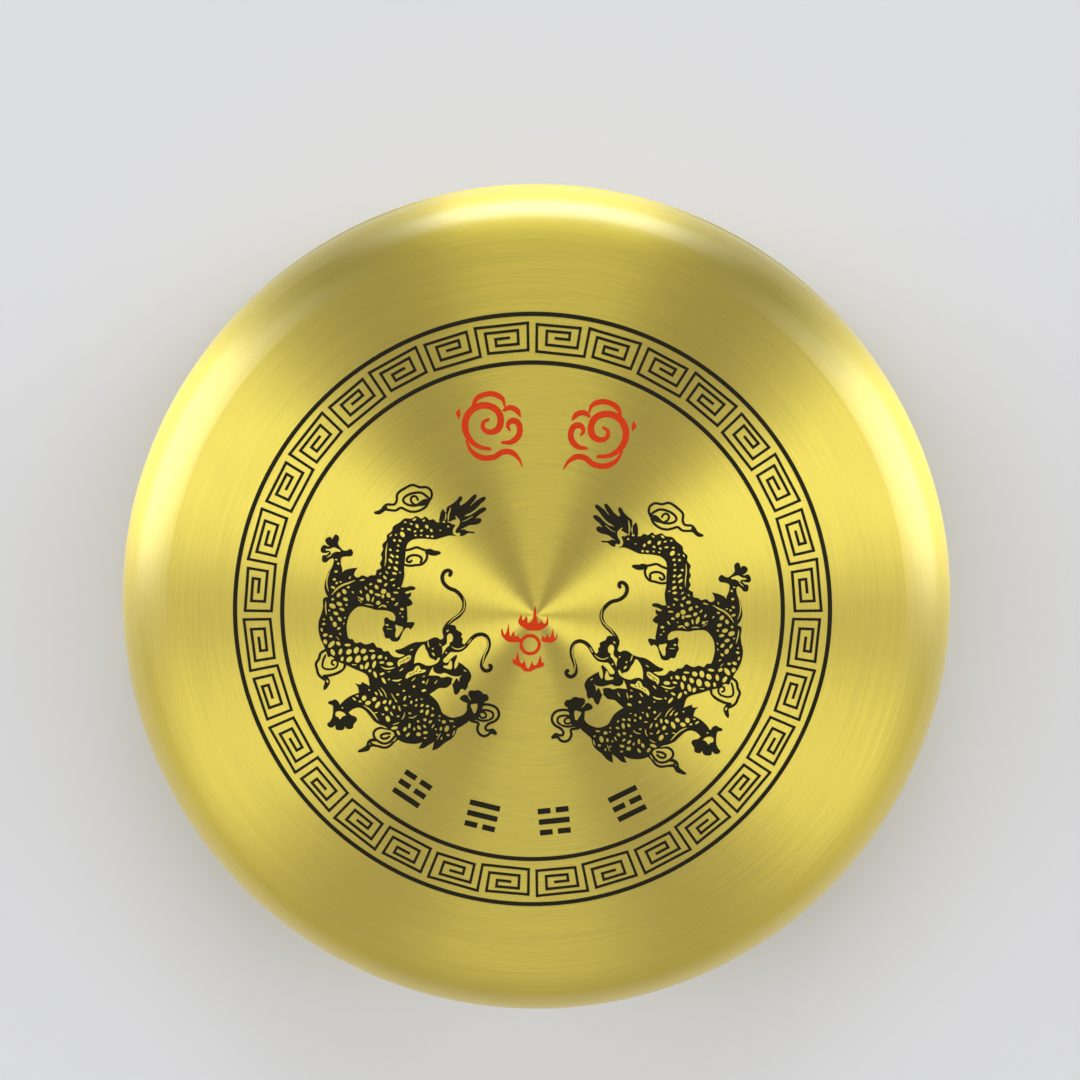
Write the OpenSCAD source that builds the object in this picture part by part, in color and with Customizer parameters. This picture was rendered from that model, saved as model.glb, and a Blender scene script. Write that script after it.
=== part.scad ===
// Feng shui compass in a round brass case with a lift-off lid.
// It lies flat as it is used: +Z is up, and the origin is at the bottom centre of the case.
// +Y is the top of the picture on the lid. All sizes are in millimetres.

/* [Case] */
// Diameter of the case, the widest part of the compass
case_d = 104; // [101:0.5:112]
// Height of the case from its foot to the seam under the lid
case_h = 11; // [10.5:0.25:14]
// Radius of the rounded lower edge
case_edge_r = 8; // [5:0.5:9]
// Thickness of the case wall below the fixed ring's seat
case_wall = 7.6; // [6.8:0.1:8.2]
// Thickness of the case floor
floor_t = 1.6; // [1.4:0.1:2]
// Height of the spigot that the lid slides over
spigot_h = 3.2; // [2.8:0.1:3.6]
// Wall of the spigot
spigot_t = 1.4; // [1.1:0.1:1.6]
// Height of the bevel that leads the lid onto the spigot
lead_h = 1.2; // [0.8:0.1:1.6]
// Width of the lead-in bevel
lead_w = 0.6; // [0.4:0.1:0.9]
// Bevel along both edges of the seam
seam_bevel = 0.3; // [0.1:0.05:0.5]

/* [Lid] */
// How far the lid's side stands in from the case's side
lid_step = 1; // [0.4:0.1:1.5]
// Height of the lid above the seam
lid_h = 9.5; // [9:0.25:14]
// Thickness of the lid's wall and face
lid_t = 1.6; // [1.2:0.1:2]
// Radius of the lid's rounded edge
lid_edge_r = 7.5; // [5:0.5:8]
// Radial clearance between the lid and the spigot
lid_gap = 0.1; // [0.05:0.01:0.12]

/* [Fixed ring] */
// Height of the ring's and the dial's faces above the seam
face_rise = 1.8; // [1.2:0.1:2.2]
// Width of the fixed ring
ring_w = 10; // [9:0.25:11]
// Thickness of the fixed ring
ring_t = 2; // [1.6:0.1:2.6]
// Clearance round the ring in its seat
ring_gap = 0.15; // [0.05:0.05:0.3]
// Shank radius of the ring's screws
ring_screw_r = 0.65; // [0.5:0.05:0.8]
// Head radius of the ring's screws
ring_screw_head_r = 1.2; // [1:0.05:1.4]
// Length of the ring's screws
ring_screw_l = 5; // [3.5:0.25:6]

/* [Cross threads] */
// Diameter of the thread
thread_d = 0.36; // [0.2:0.02:0.5]
// Height of the lower thread's underside above the dial's face
thread_lift = 0.5; // [0.42:0.02:0.8]
// Radius of the posts that hold the threads
post_r = 0.8; // [0.6:0.05:1]
// Radius of the peg under each post
peg_r = 0.5; // [0.35:0.05:0.6]
// Radius of the knot behind each post
knot_r = 0.38; // [0.3:0.02:0.45]

/* [Levels] */
// Diameter of the level tube
vial_d = 3.4; // [3:0.1:3.8]
// Length of the level tube
vial_l = 11; // [8:0.5:12]
// Glass wall of the level tube
vial_wall = 0.35; // [0.25:0.05:0.5]
// Wall of the tube's trough
trough_wall = 0.6; // [0.4:0.05:0.8]
// Outer radius of the round level
round_level_r = 2.8; // [2.2:0.1:2.9]
// Wall of the round level's cup
round_level_wall = 0.5; // [0.3:0.05:0.7]
// Height of the round level's cup
round_level_h = 3.6; // [3.2:0.1:4.4]
// Thickness of the round level's window
round_window_t = 0.7; // [0.4:0.05:1]

/* [Dial] */
// Gap between the dial and the fixed ring
dial_gap = 0.35; // [0.25:0.05:0.6]
// Thickness of the whole dial
dial_t = 4.2; // [3.4:0.1:4.6]
// Thickness of the dial's brass face plate
plate_t = 0.9; // [0.6:0.1:1.2]
// Number of bands between engraved circles
band_count = 6; // [3:1:8]
// Width of an engraved circle
groove_w = 0.2; // [0.1:0.05:0.3]
// Depth of an engraved circle
groove_depth = 0.12; // [0.05:0.01:0.2]

/* [Heaven pool] */
// Inner radius of the pool
pool_r = 8; // [7:0.25:9]
// Thickness of the pool cup's wall
cup_wall = 1.4; // [1.2:0.1:1.8]
// Thickness of the pool cup's floor
cup_floor_t = 0.8; // [0.6:0.1:1.2]
// Width of the flange under the dial
cup_flange_w = 3.8; // [3.2:0.1:5]
// Thickness of the flange under the dial
cup_flange_t = 0.8; // [0.6:0.1:1]
// Thickness of the white disc on the pool's floor
pool_disc_t = 0.3; // [0.2:0.05:0.5]
// Width of the shelf under the glass
shelf_w = 0.65; // [0.5:0.05:0.9]
// Thickness of the pool's glass
glass_t = 0.8; // [0.6:0.1:1]
// Thickness of the gasket under the glass
gasket_t = 0.3; // [0.2:0.05:0.4]
// Depth of the glass below the dial's face
glass_drop = 0.4; // [0.3:0.05:0.6]
// Thickness of the bezel over the dial's face
bezel_t = 0.3; // [0.2:0.02:0.36]
// How far the bezel laps over the face plate
bezel_lap = 0.9; // [0.6:0.1:1.4]
// Shank radius of the pool's screws
pool_screw_r = 0.75; // [0.6:0.05:0.9]
// Head radius of the pool's screws
pool_screw_head_r = 1.3; // [1.1:0.05:1.5]

/* [Needle] */
// Gap between the needle's tips and the pool's wall
needle_gap = 0.8; // [0.5:0.05:2]
// Width of the needle
needle_w = 0.9; // [0.6:0.05:1.2]
// Thickness of the needle
needle_t = 0.25; // [0.15:0.05:0.3]
// Depth of the pivot's point below the glass
point_drop = 1.4; // [1.2:0.05:1.8]
// Radius of the pivot pin
pin_r = 0.5; // [0.4:0.05:0.6]
// Radius of the needle's cap
cap_r = 1.1; // [0.95:0.05:1.3]
// Radius of the jewel in the cap
jewel_r = 0.64; // [0.55:0.02:0.7]

/* [Bearing] */
// Radius of the hub's journal
journal_r = 2; // [1.6:0.1:2.4]
// Radial clearance of the journal in the case
running_gap = 0.05; // [0.02:0.01:0.08]
// Radius of the boss on the case floor
boss_r = 7; // [6:0.25:9]
// Height of the boss above the case floor
boss_h = 1.6; // [1.2:0.1:1.8]
// Radius of the hub's flange
hub_r = 6; // [5:0.25:6.5]
// Thickness of the hub's flange
hub_t = 1.7; // [1.4:0.1:2]
// Thickness of the thrust washer
thrust_t = 0.3; // [0.2:0.05:0.5]
// Radius of the recess under the case for the hub screw
recess_r = 4.2; // [4:0.1:5]
// Depth of the recess
recess_depth = 1.5; // [1.35:0.05:1.8]
// Thickness of the spring washer
spring_t = 0.25; // [0.15:0.05:0.3]
// Head radius of the hub screw
hub_screw_head_r = 3.4; // [3:0.1:3.6]
// Head thickness of the hub screw
hub_screw_head_t = 0.9; // [0.7:0.05:1]
// Shank radius of the hub screw
hub_screw_r = 0.9; // [0.7:0.05:1.1]

/* [Hidden] */
$fn = 96;

cut = 1;          // how far a cutting solid runs past the face that it opens
fit_gap = 0.02;   // clearance of pieces that are screwed, glued or pressed together
slip_gap = 0.1;   // clearance of pieces that drop into their places

// Radii, from the case inwards
case_r = case_d / 2;
lid_r = case_r - lid_step;
lid_bore_r = lid_r - lid_t;
spigot_r = lid_bore_r - lid_gap;
seat_r = spigot_r - spigot_t;
cavity_r = case_r - case_wall;
ring_out_r = seat_r - ring_gap;
ring_in_r = ring_out_r - ring_w;
dial_r = ring_in_r - dial_gap;
fix_r = (cavity_r + ring_out_r) / 2;
level_r = (cavity_r + ring_in_r) / 2;

// Heights, from the floor up
face_z = case_h + face_rise;
ring_z = face_z - ring_t;
spigot_z = case_h + spigot_h;
boss_z = floor_t + boss_h;
hub_z = boss_z + thrust_t;
cup_z = hub_z + hub_t;
disc_z = cup_z + cup_floor_t;
core_z = face_z - dial_t;
plate_z = face_z - plate_t;
flange_z = core_z - cup_flange_t;

// Heaven pool
cup_r = pool_r + cup_wall;
glass_r = pool_r + shelf_w;
glass_z = face_z - glass_drop - glass_t;
gasket_z = glass_z - gasket_t;
pool_screw_ring_r = cup_r + cup_flange_w / 2;
pool_screw_head_t = 0.8;
pool_screw_grip = dial_t - plate_t - 0.6;

// Needle
point_z = glass_z - point_drop;
point_r = 0.04;
point_l = 1.2;
point_clear = 0.05;
arrow_l = 2.2;
cap_flange_t = 0.3;
neck_step = 0.25;
neck_r = cap_r - neck_step;
cap_top = 0.7;
jewel_low = 0.45;
jewel_high = 0.35;
dimple_r = 0.45;
needle_z = point_z - needle_t - point_clear;
needle_r = pool_r - needle_gap;

// Bearing
head_z = recess_depth - spring_t;
hub_screw_z = cup_z - 0.8;
slot_w = 0.5;
slot_depth = 0.4;

// Cross threads
low_thread_z = face_z + thread_lift + thread_d / 2;
high_thread_z = low_thread_z + thread_d;
post_cap = 0.35;

// Levels
vial_r = vial_d / 2;
vial_bore_r = vial_r - vial_wall;
vial_z = face_z - vial_r - slip_gap;
plug_l = 0.8;
trough_end = 1;
trough_w = vial_d + 2 * trough_wall;
trough_l = vial_l + 2 * trough_end;
trough_z = vial_z - vial_r - trough_wall;
ear_w = 3;
ear_l = 1;
ear_t = 0.5;
tube_bubble_r = 0.45;
tube_bubble_l = 2.4;
tube_level_angle = 45;
round_level_angle = 225;
round_bore_r = round_level_r - round_level_wall;
round_z = face_z - round_level_h;
round_lip = 0.3;
round_fluid_z = round_z + 0.6;
round_window_z = face_z - 0.2 - round_window_t;
round_bubble_r = 0.8;
round_bubble_h = 0.4;

// Half outline of a turned disc: radius r, height h, upper edge rounded by edge_r
module rounded_outline(r, h, edge_r) {
    square([r - edge_r, h]);
    square([r, h - edge_r]);
    intersection() {
        translate([r - edge_r, h - edge_r]) circle(edge_r);
        square([r, h]);
    }
}

// Right triangle that bevels a turned edge; its corner is at the origin
module bevel_outline(w) {
    polygon([[0, 0], [-w, 0], [0, w]]);
}

// Turned ring from radius a to radius b, standing on height z
module turned_ring(a, b, z, h) {
    translate([0, 0, z]) difference() {
        cylinder(r = b, h = h);
        translate([0, 0, -cut]) cylinder(r = a, h = h + 2 * cut);
    }
}

// Four copies at the quarter turns, starting at angle a
module quarters(a = 0) {
    for (i = [0:3]) rotate([0, 0, a + 90 * i]) children();
}

// Cup of the case: rounded foot, wall, and the spigot that the lid slides over
module case_base() {
    color("goldenrod") difference() {
        union() {
            rotate_extrude() translate([0, case_h]) mirror([0, 1]) difference() {
                rounded_outline(case_r, case_h, case_edge_r);
                translate([case_r, 0]) bevel_outline(seam_bevel);
            }
            rotate_extrude() polygon([
                [0, case_edge_r], [spigot_r, case_edge_r], [spigot_r, spigot_z - lead_h],
                [spigot_r - lead_w, spigot_z], [0, spigot_z]]);
        }
        difference() {
            translate([0, 0, floor_t]) cylinder(r = cavity_r, h = spigot_z);
            cylinder(r = boss_r, h = boss_z);
        }
        translate([0, 0, ring_z]) cylinder(r = seat_r, h = spigot_z);
        translate([0, 0, -cut]) cylinder(r = journal_r + running_gap, h = boss_z + 2 * cut);
        translate([0, 0, -cut]) cylinder(r = recess_r, h = recess_depth + cut);
        quarters(45) translate([fix_r, 0, face_z - ring_screw_l - slip_gap])
            cylinder(r = ring_screw_r + fit_gap, h = ring_screw_l);
    }
}

// Lid: one spun shell, open below, with a rounded edge
module lid_shell() {
    color("gold") translate([0, 0, case_h]) rotate_extrude() difference() {
        rounded_outline(lid_r, lid_h, lid_edge_r);
        translate([0, -cut]) rounded_outline(lid_bore_r, lid_h - lid_t + cut, lid_edge_r - lid_t);
        translate([lid_r, 0]) bevel_outline(seam_bevel);
    }
}

// Fixed brass ring round the dial, with holes for its screws, the thread posts and the levels
module outer_ring() {
    color("gold") difference() {
        turned_ring(ring_in_r, ring_out_r, ring_z, ring_t);
        quarters(45) translate([fix_r, 0, 0]) {
            cylinder(r = ring_screw_r + slip_gap, h = face_z + cut);
            translate([0, 0, face_z - ring_screw_head_r - slip_gap])
                cylinder(r1 = 0, r2 = ring_screw_head_r + slip_gap, h = ring_screw_head_r + slip_gap);
        }
        quarters() translate([fix_r, 0, 0]) cylinder(r = peg_r + fit_gap, h = face_z + cut);
        rotate([0, 0, tube_level_angle]) translate([level_r, 0, face_z - cut])
            cube([trough_w + 2 * slip_gap, trough_l + 2 * slip_gap, 2 * face_z], center = true);
        rotate([0, 0, round_level_angle]) translate([level_r, 0, 0])
            cylinder(r = round_level_r + slip_gap, h = face_z + cut);
    }
}

// Countersunk screws that hold the ring on the case
module ring_screws() {
    color("khaki") quarters(45) translate([fix_r, 0, 0]) difference() {
        union() {
            translate([0, 0, face_z - ring_screw_l])
                cylinder(r = ring_screw_r, h = ring_screw_l - slip_gap);
            translate([0, 0, face_z - slip_gap - ring_screw_head_r])
                cylinder(r1 = 0, r2 = ring_screw_head_r, h = ring_screw_head_r);
        }
        translate([0, 0, face_z]) cube([slot_w / 2, 3 * ring_screw_head_r, 2 * slot_depth], center = true);
    }
}

// One post with its peg and its cross hole for a thread at height z
module thread_post(z) {
    translate([fix_r, 0, 0]) difference() {
        union() {
            translate([0, 0, face_z]) cylinder(r = post_r, h = z + thread_d / 2 + post_cap - face_z);
            translate([0, 0, ring_z + slip_gap]) cylinder(r = peg_r, h = face_z - ring_z);
        }
        translate([0, 0, z]) rotate([0, 90, 0])
            cylinder(r = thread_d / 2 + fit_gap, h = 4 * post_r, center = true);
    }
}

module thread_posts() {
    color("khaki") for (i = [0:3])
        rotate([0, 0, 90 * i]) thread_post(i % 2 == 0 ? high_thread_z : low_thread_z);
}

// Taut thread along X at height z, with a knot behind each post
module thread_line(z) {
    knot_x = fix_r + post_r + knot_r;
    translate([-knot_x, 0, z]) rotate([0, 90, 0]) cylinder(r = thread_d / 2, h = 2 * knot_x);
    for (side = [-1, 1]) translate([side * knot_x, 0, z]) sphere(knot_r);
}

module thread_north_south() {
    color("crimson") rotate([0, 0, 90]) thread_line(low_thread_z);
}

module thread_east_west() {
    color("crimson") thread_line(high_thread_z);
}

// Puts a shape made round the origin at the tube level, its length along Y
module at_tube_level() {
    rotate([0, 0, tube_level_angle]) translate([level_r, 0, 0]) children();
}

// Cylinder along Y, centred at height z
module lying_cylinder(r, l, z) {
    translate([0, 0, z]) rotate([90, 0, 0]) cylinder(r = r, h = l, center = true);
}

// Trough that hangs in the ring's slot by the ears under the ring
module tube_level_trough() {
    color("darkgoldenrod") at_tube_level() difference() {
        union() {
            translate([-trough_w / 2, -trough_l / 2, trough_z])
                cube([trough_w, trough_l, face_z - trough_z]);
            translate([-ear_w / 2, -trough_l / 2 - ear_l, ring_z - ear_t])
                cube([ear_w, trough_l + 2 * ear_l, ear_t]);
        }
        lying_cylinder(vial_r + fit_gap, vial_l + 2 * fit_gap, vial_z);
        translate([-vial_r - fit_gap, -vial_l / 2 - fit_gap, vial_z])
            cube([vial_d + 2 * fit_gap, vial_l + 2 * fit_gap, vial_d]);
    }
}

module tube_level_vial() {
    color("lightcyan", 0.4) at_tube_level() difference() {
        lying_cylinder(vial_r, vial_l, vial_z);
        lying_cylinder(vial_bore_r, vial_l + 2 * cut, vial_z);
    }
}

module tube_level_plugs() {
    color("white") at_tube_level() for (side = [-1, 1])
        translate([0, side * (vial_l - plug_l) / 2, 0])
            lying_cylinder(vial_bore_r - fit_gap, plug_l, vial_z);
}

// Coloured spirit that fills the tube, but for its bubble
module tube_level_fluid() {
    bubble_z = vial_z + vial_bore_r - tube_bubble_r - 2 * fit_gap;
    color("yellowgreen", 0.6) at_tube_level() difference() {
        lying_cylinder(vial_bore_r - fit_gap, vial_l - 2 * plug_l, vial_z);
        lying_cylinder(tube_bubble_r, tube_bubble_l, bubble_z);
        for (side = [-1, 1]) translate([0, side * tube_bubble_l / 2, bubble_z]) sphere(tube_bubble_r);
    }
}

// Puts a shape made round the origin at the round level
module at_round_level() {
    rotate([0, 0, round_level_angle]) translate([level_r, 0, 0]) children();
}

module round_level_cup() {
    color("darkgoldenrod") at_round_level() difference() {
        union() {
            translate([0, 0, round_z]) cylinder(r = round_level_r, h = round_level_h);
            translate([0, 0, ring_z - ear_t]) cylinder(r = round_level_r + round_lip, h = ear_t);
        }
        translate([0, 0, round_fluid_z]) cylinder(r = round_bore_r, h = round_level_h);
    }
}

// Coloured spirit with a flat round bubble at its top
module round_level_fluid() {
    h = round_window_z - round_fluid_z;
    color("yellowgreen", 0.6) at_round_level() translate([0, 0, round_fluid_z]) difference() {
        cylinder(r = round_bore_r - fit_gap, h = h);
        translate([0, 0, h - round_bubble_h]) cylinder(r = round_bubble_r, h = round_bubble_h + cut);
    }
}

module round_level_window() {
    color("lightcyan", 0.4) at_round_level() translate([0, 0, round_window_z])
        cylinder(r = round_bore_r - fit_gap, h = round_window_t);
}

// Slippery washer between the hub's flange and the boss
module thrust_washer() {
    color("white") turned_ring(journal_r + slip_gap, hub_r, boss_z, thrust_t);
}

// Washer that keeps the dial from turning by itself
module spring_washer() {
    color("peru") turned_ring(journal_r + slip_gap, hub_screw_head_r, head_z, spring_t);
}

// Hub under the pool cup: a flange, and the journal that turns in the case
module dial_hub() {
    color("darkgoldenrod") difference() {
        union() {
            translate([0, 0, head_z]) cylinder(r = journal_r, h = hub_z - head_z);
            translate([0, 0, hub_z]) cylinder(r = hub_r, h = hub_t);
        }
        translate([0, 0, head_z - cut])
            cylinder(r = hub_screw_r + fit_gap, h = hub_screw_z + slip_gap - head_z + cut);
    }
}

// Screw from below that keeps the dial in the case
module hub_screw() {
    color("khaki") difference() {
        union() {
            translate([0, 0, head_z - hub_screw_head_t])
                cylinder(r = hub_screw_head_r, h = hub_screw_head_t);
            translate([0, 0, head_z]) cylinder(r = hub_screw_r, h = hub_screw_z - head_z);
        }
        translate([0, 0, head_z - hub_screw_head_t])
            cube([slot_w, 3 * hub_screw_head_r, 2 * slot_depth], center = true);
    }
}

// Thick black body of the dial
module dial_core() {
    color("dimgray") difference() {
        turned_ring(cup_r + fit_gap, dial_r, core_z, plate_z - core_z);
        quarters(45) translate([pool_screw_ring_r, 0, core_z - cut])
            cylinder(r = pool_screw_r + fit_gap, h = pool_screw_grip + slip_gap + cut);
    }
}

// Brass face of the dial with engraved circles
module dial_plate() {
    first_r = cup_r + bezel_lap + 1;
    last_r = dial_r - 0.6;
    color("gold") difference() {
        turned_ring(cup_r + fit_gap, dial_r, plate_z, plate_t);
        for (i = [0:band_count]) {
            r = first_r + (last_r - first_r) * i / band_count;
            turned_ring(r - groove_w / 2, r + groove_w / 2, face_z - groove_depth, groove_depth + cut);
        }
    }
}

// Cup of the heaven pool, with a shelf for the glass and a flange under the dial
module pool_cup() {
    color("darkgoldenrod") difference() {
        union() {
            translate([0, 0, cup_z]) cylinder(r = cup_r, h = face_z - cup_z);
            translate([0, 0, flange_z]) cylinder(r = cup_r + cup_flange_w, h = cup_flange_t);
        }
        translate([0, 0, disc_z]) cylinder(r = pool_r, h = face_z);
        translate([0, 0, gasket_z]) cylinder(r = glass_r + fit_gap, h = face_z);
        quarters(45) translate([pool_screw_ring_r, 0, 0]) cylinder(r = pool_screw_r + slip_gap, h = face_z);
    }
}

// Screws through the flange into the dial's body
module pool_screws() {
    color("khaki") quarters(45) translate([pool_screw_ring_r, 0, 0]) difference() {
        union() {
            translate([0, 0, flange_z - pool_screw_head_t])
                cylinder(r = pool_screw_head_r, h = pool_screw_head_t);
            translate([0, 0, flange_z]) cylinder(r = pool_screw_r, h = cup_flange_t + pool_screw_grip);
        }
        translate([0, 0, flange_z - pool_screw_head_t])
            cube([slot_w, 3 * pool_screw_head_r, 2 * slot_depth], center = true);
    }
}

// White disc on the pool's floor
module pool_disc() {
    color("white") turned_ring(pin_r + slip_gap, pool_r - slip_gap, disc_z, pool_disc_t);
}

module pool_gasket() {
    color("black") turned_ring(pool_r, glass_r - fit_gap, gasket_z, gasket_t);
}

module pool_glass() {
    color("lightcyan", 0.4) translate([0, 0, glass_z]) cylinder(r = glass_r - fit_gap, h = glass_t);
}

// Bezel that presses on the glass and laps over the dial's face
module pool_bezel() {
    rim_r = cup_r + bezel_lap;
    color("gold") rotate_extrude() polygon([
        [pool_r, face_z - glass_drop], [glass_r - fit_gap, face_z - glass_drop],
        [glass_r - fit_gap, face_z], [rim_r, face_z],
        [rim_r, face_z + bezel_t / 2], [rim_r - bezel_t / 2, face_z + bezel_t],
        [pool_r + bezel_t, face_z + bezel_t], [pool_r, face_z]]);
}

// Pointed steel pin that carries the needle
module pivot_pin() {
    color("silver") {
        translate([0, 0, disc_z]) cylinder(r = pin_r, h = point_z - point_l - disc_z);
        translate([0, 0, point_z - point_l]) cylinder(r1 = pin_r, r2 = point_r, h = point_l);
    }
}

// Right half of the needle's outline: an arrow head towards +Y and a forked tail towards -Y
function needle_side(half, eye_r) = [
    [0, needle_r], [needle_w, needle_r - arrow_l], [half, needle_r - arrow_l + half],
    [half, eye_r], [eye_r, half], [eye_r, -half], [half, -eye_r],
    [half, needle_w - needle_r], [needle_w, -needle_r], [0, half - needle_r]];

module needle() {
    side = needle_side(needle_w / 2, cap_r + needle_w / 2);
    last = len(side) - 1;
    other_side = [for (i = [last - 1:-1:1]) [-side[i][0], side[i][1]]];
    color("dimgray") difference() {
        translate([0, 0, needle_z]) linear_extrude(needle_t) polygon(concat(side, other_side));
        translate([0, 0, needle_z - cut]) cylinder(r = neck_r + fit_gap, h = needle_t + 2 * cut);
    }
}

// Cap with a flange that carries the needle and a socket for the jewel
module needle_cap() {
    low_z = needle_z - cap_flange_t;
    color("gold") difference() {
        union() {
            translate([0, 0, low_z]) cylinder(r = cap_r, h = cap_flange_t);
            translate([0, 0, low_z]) cylinder(r = neck_r, h = point_z + cap_top - low_z);
        }
        translate([0, 0, low_z - cut]) cylinder(r = jewel_r + fit_gap, h = point_z + jewel_high - low_z + cut);
    }
}

// Jewel with a hollow that sits on the pin's point
module needle_jewel() {
    color("firebrick") difference() {
        translate([0, 0, point_z - jewel_low]) cylinder(r = jewel_r, h = jewel_low + jewel_high);
        translate([0, 0, point_z - jewel_low - fit_gap])
            cylinder(r1 = dimple_r, r2 = point_r, h = jewel_low + point_clear + fit_gap);
    }
}

case_base();
outer_ring();
ring_screws();
thread_posts();
thread_north_south();
thread_east_west();
tube_level_trough();
tube_level_vial();
tube_level_plugs();
tube_level_fluid();
round_level_cup();
round_level_fluid();
round_level_window();
thrust_washer();
spring_washer();
dial_hub();
hub_screw();
dial_core();
dial_plate();
pool_cup();
pool_screws();
pool_disc();
pool_gasket();
pool_glass();
pool_bezel();
pivot_pin();
needle();
needle_cap();
needle_jewel();
lid_shell();
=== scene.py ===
"""Looks of a feng shui compass in a round brass case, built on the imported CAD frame."""
import math

import bpy
from mathutils import Matrix, Vector
from mathutils.geometry import delaunay_2d_cdt


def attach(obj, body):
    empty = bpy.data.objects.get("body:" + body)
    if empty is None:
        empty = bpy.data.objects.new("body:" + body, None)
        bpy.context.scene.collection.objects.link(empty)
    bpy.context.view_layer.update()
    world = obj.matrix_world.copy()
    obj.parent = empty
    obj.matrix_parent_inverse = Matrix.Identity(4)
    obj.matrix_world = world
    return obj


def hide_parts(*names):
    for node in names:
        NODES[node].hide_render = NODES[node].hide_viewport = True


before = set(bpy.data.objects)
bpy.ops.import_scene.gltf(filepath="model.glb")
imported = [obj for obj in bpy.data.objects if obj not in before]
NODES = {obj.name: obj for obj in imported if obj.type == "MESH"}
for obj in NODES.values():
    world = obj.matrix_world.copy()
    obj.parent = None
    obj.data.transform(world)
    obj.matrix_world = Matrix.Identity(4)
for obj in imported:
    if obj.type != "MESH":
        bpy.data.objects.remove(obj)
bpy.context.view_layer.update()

MM = 0.001

# How the picture was taken, in millimetres and degrees
FRAME_TURN = 4.0       # the whole view is turned about the vertical
CAMERA_X = 0.43
CAMERA_Y = 18.74
CAMERA_Z = 148.9
CAMERA_PITCH = 4.4
LENS = 36.67
SENSOR = 36.0
CLIP_START = 0.01      # in metres

# Brushed brass, lengths in millimetres
FINE_PITCH = 0.12      # from one brush line to the next
BAND_PITCH = 1.4       # from one broad pale band to the next
STREAK_PITCH = 0.3     # from one dark streak to the next
BRUSH_DEPTH = 0.003
HEIGHT_SHARE = -1.3    # how much height counts towards the radius, so that lines run round the rim too
FACET_LEAN = 0.1       # a lean below this is a facet's, one above it is a real side face
NOISE_LOW = 0.3        # nearly all of a noise lies between these two values
NOISE_HIGH = 0.7

# Prints, lengths in millimetres
STEP = 0.16            # longest straight bit of a drawn curve
MOST_STEPS = 8         # and the most of them between two points
CAP_STEPS = 4          # straight bits in a stroke's round end
TAPER_RATE = 4         # a stroke has its full width a quarter of its length from its end
PRINT_THICK = 0.02     # how proud the ink stands
PRINT_SINK = 0.01      # how far its underside goes into the lacquer
JOIN_DISTANCE = 1e-6   # points nearer to each other than this are one point
SCALE_GROWTH = 1.2     # how much a dragon's bare scales grow over their drawn size
SCALE_SIDES = 8
DOT_SIDES = 20
CIRCLE_SIDES = 240     # of a large circle
PRINT_SHIFT = (-0.45, 0.0)      # the lid's picture sits a little to the left of the lid's middle

# Places under the print, in millimetres, as the CAD has them
FACE_Z = 20.5                                                   # the lid's flat face
DIAL_Z = 12.8                                                   # face of the dial and of the fixed ring
DIAL_RINGS = (11.3, 15.55, 19.8, 24.05, 28.3, 32.55, 36.8)      # circles engraved in the dial
GROOVE_Z = 12.68                                                # floor of those circles
POOL_FLOOR_Z = 6.3
NEEDLE_Z = 10.15
RING_INNER = 37.75
LEVEL_R = 41.075
TUBE_LEVEL_AZIMUTH, ROUND_LEVEL_AZIMUTH = 45, 225
ROUND_WINDOW_Z = 12.6
VIAL_R, VIAL_Z = 1.7, 11.0
THREAD_R = 0.18
LOW_THREAD_Z, HIGH_THREAD_Z = 13.48, 13.84
KNOT_PLACE = 47.255
KNOT_R = 0.36
GLYPH_WIDTH, GLYPH_PITCH = 0.6, 0.86                            # as shares of a figure's height

# Floor, lights and sky
FLOOR_REACH = 14.0     # in metres
PANEL_AWAY = 5000.0    # how far the soft lights stand from the object, in millimetres
PANEL_COLOUR = (0.93, 1.0, 1.22)
EDGE_SPAN = 4.0        # the width of one of the strips in which a light fades out, in degrees
EDGE_FADE = (0.5, 0.22, 0.1, 0.04)
SKY_COLOUR = (1.0, 0.93, 0.72, 1.0)
SKY_DIM, SKY_FAIR = 0.22, 0.68
SKY_BLEND = 0.35       # half the width of the sky's change from dim to fair
SKY_LOW = 0.25         # the sine of the height where the sky starts to get paler
SKY_HIGH = 0.85        # and of the height where it is palest
SKY_LOW_SHARE = 0.55   # how strong the sky is low down
BACKDROP_COLOUR = (0.66, 0.67, 0.7, 1.0)
BACKDROP_LOW = 0.1     # the sine of the height up to which the backdrop is plain
BACKDROP_HIGH = 0.3    # and of the height where it has gone over into the sky


def mm(*values):
    """A vector given in millimetres."""
    return Vector(values) * MM


def make_camera():
    """The photograph's camera, turned with its whole view about the vertical."""
    data = bpy.data.cameras.new("photo_camera")
    data.lens, data.sensor_width, data.clip_start = LENS, SENSOR, CLIP_START
    camera = bpy.data.objects.new("photo_camera", data)
    bpy.context.collection.objects.link(camera)
    turn = Matrix.Rotation(math.radians(FRAME_TURN), 4, "Z")
    place = Matrix.Translation(mm(CAMERA_X, CAMERA_Y, CAMERA_Z))
    pitch = Matrix.Rotation(math.radians(-CAMERA_PITCH), 4, "X")
    camera.matrix_world = turn @ place @ pitch
    bpy.context.scene.camera = camera


make_camera()


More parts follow.
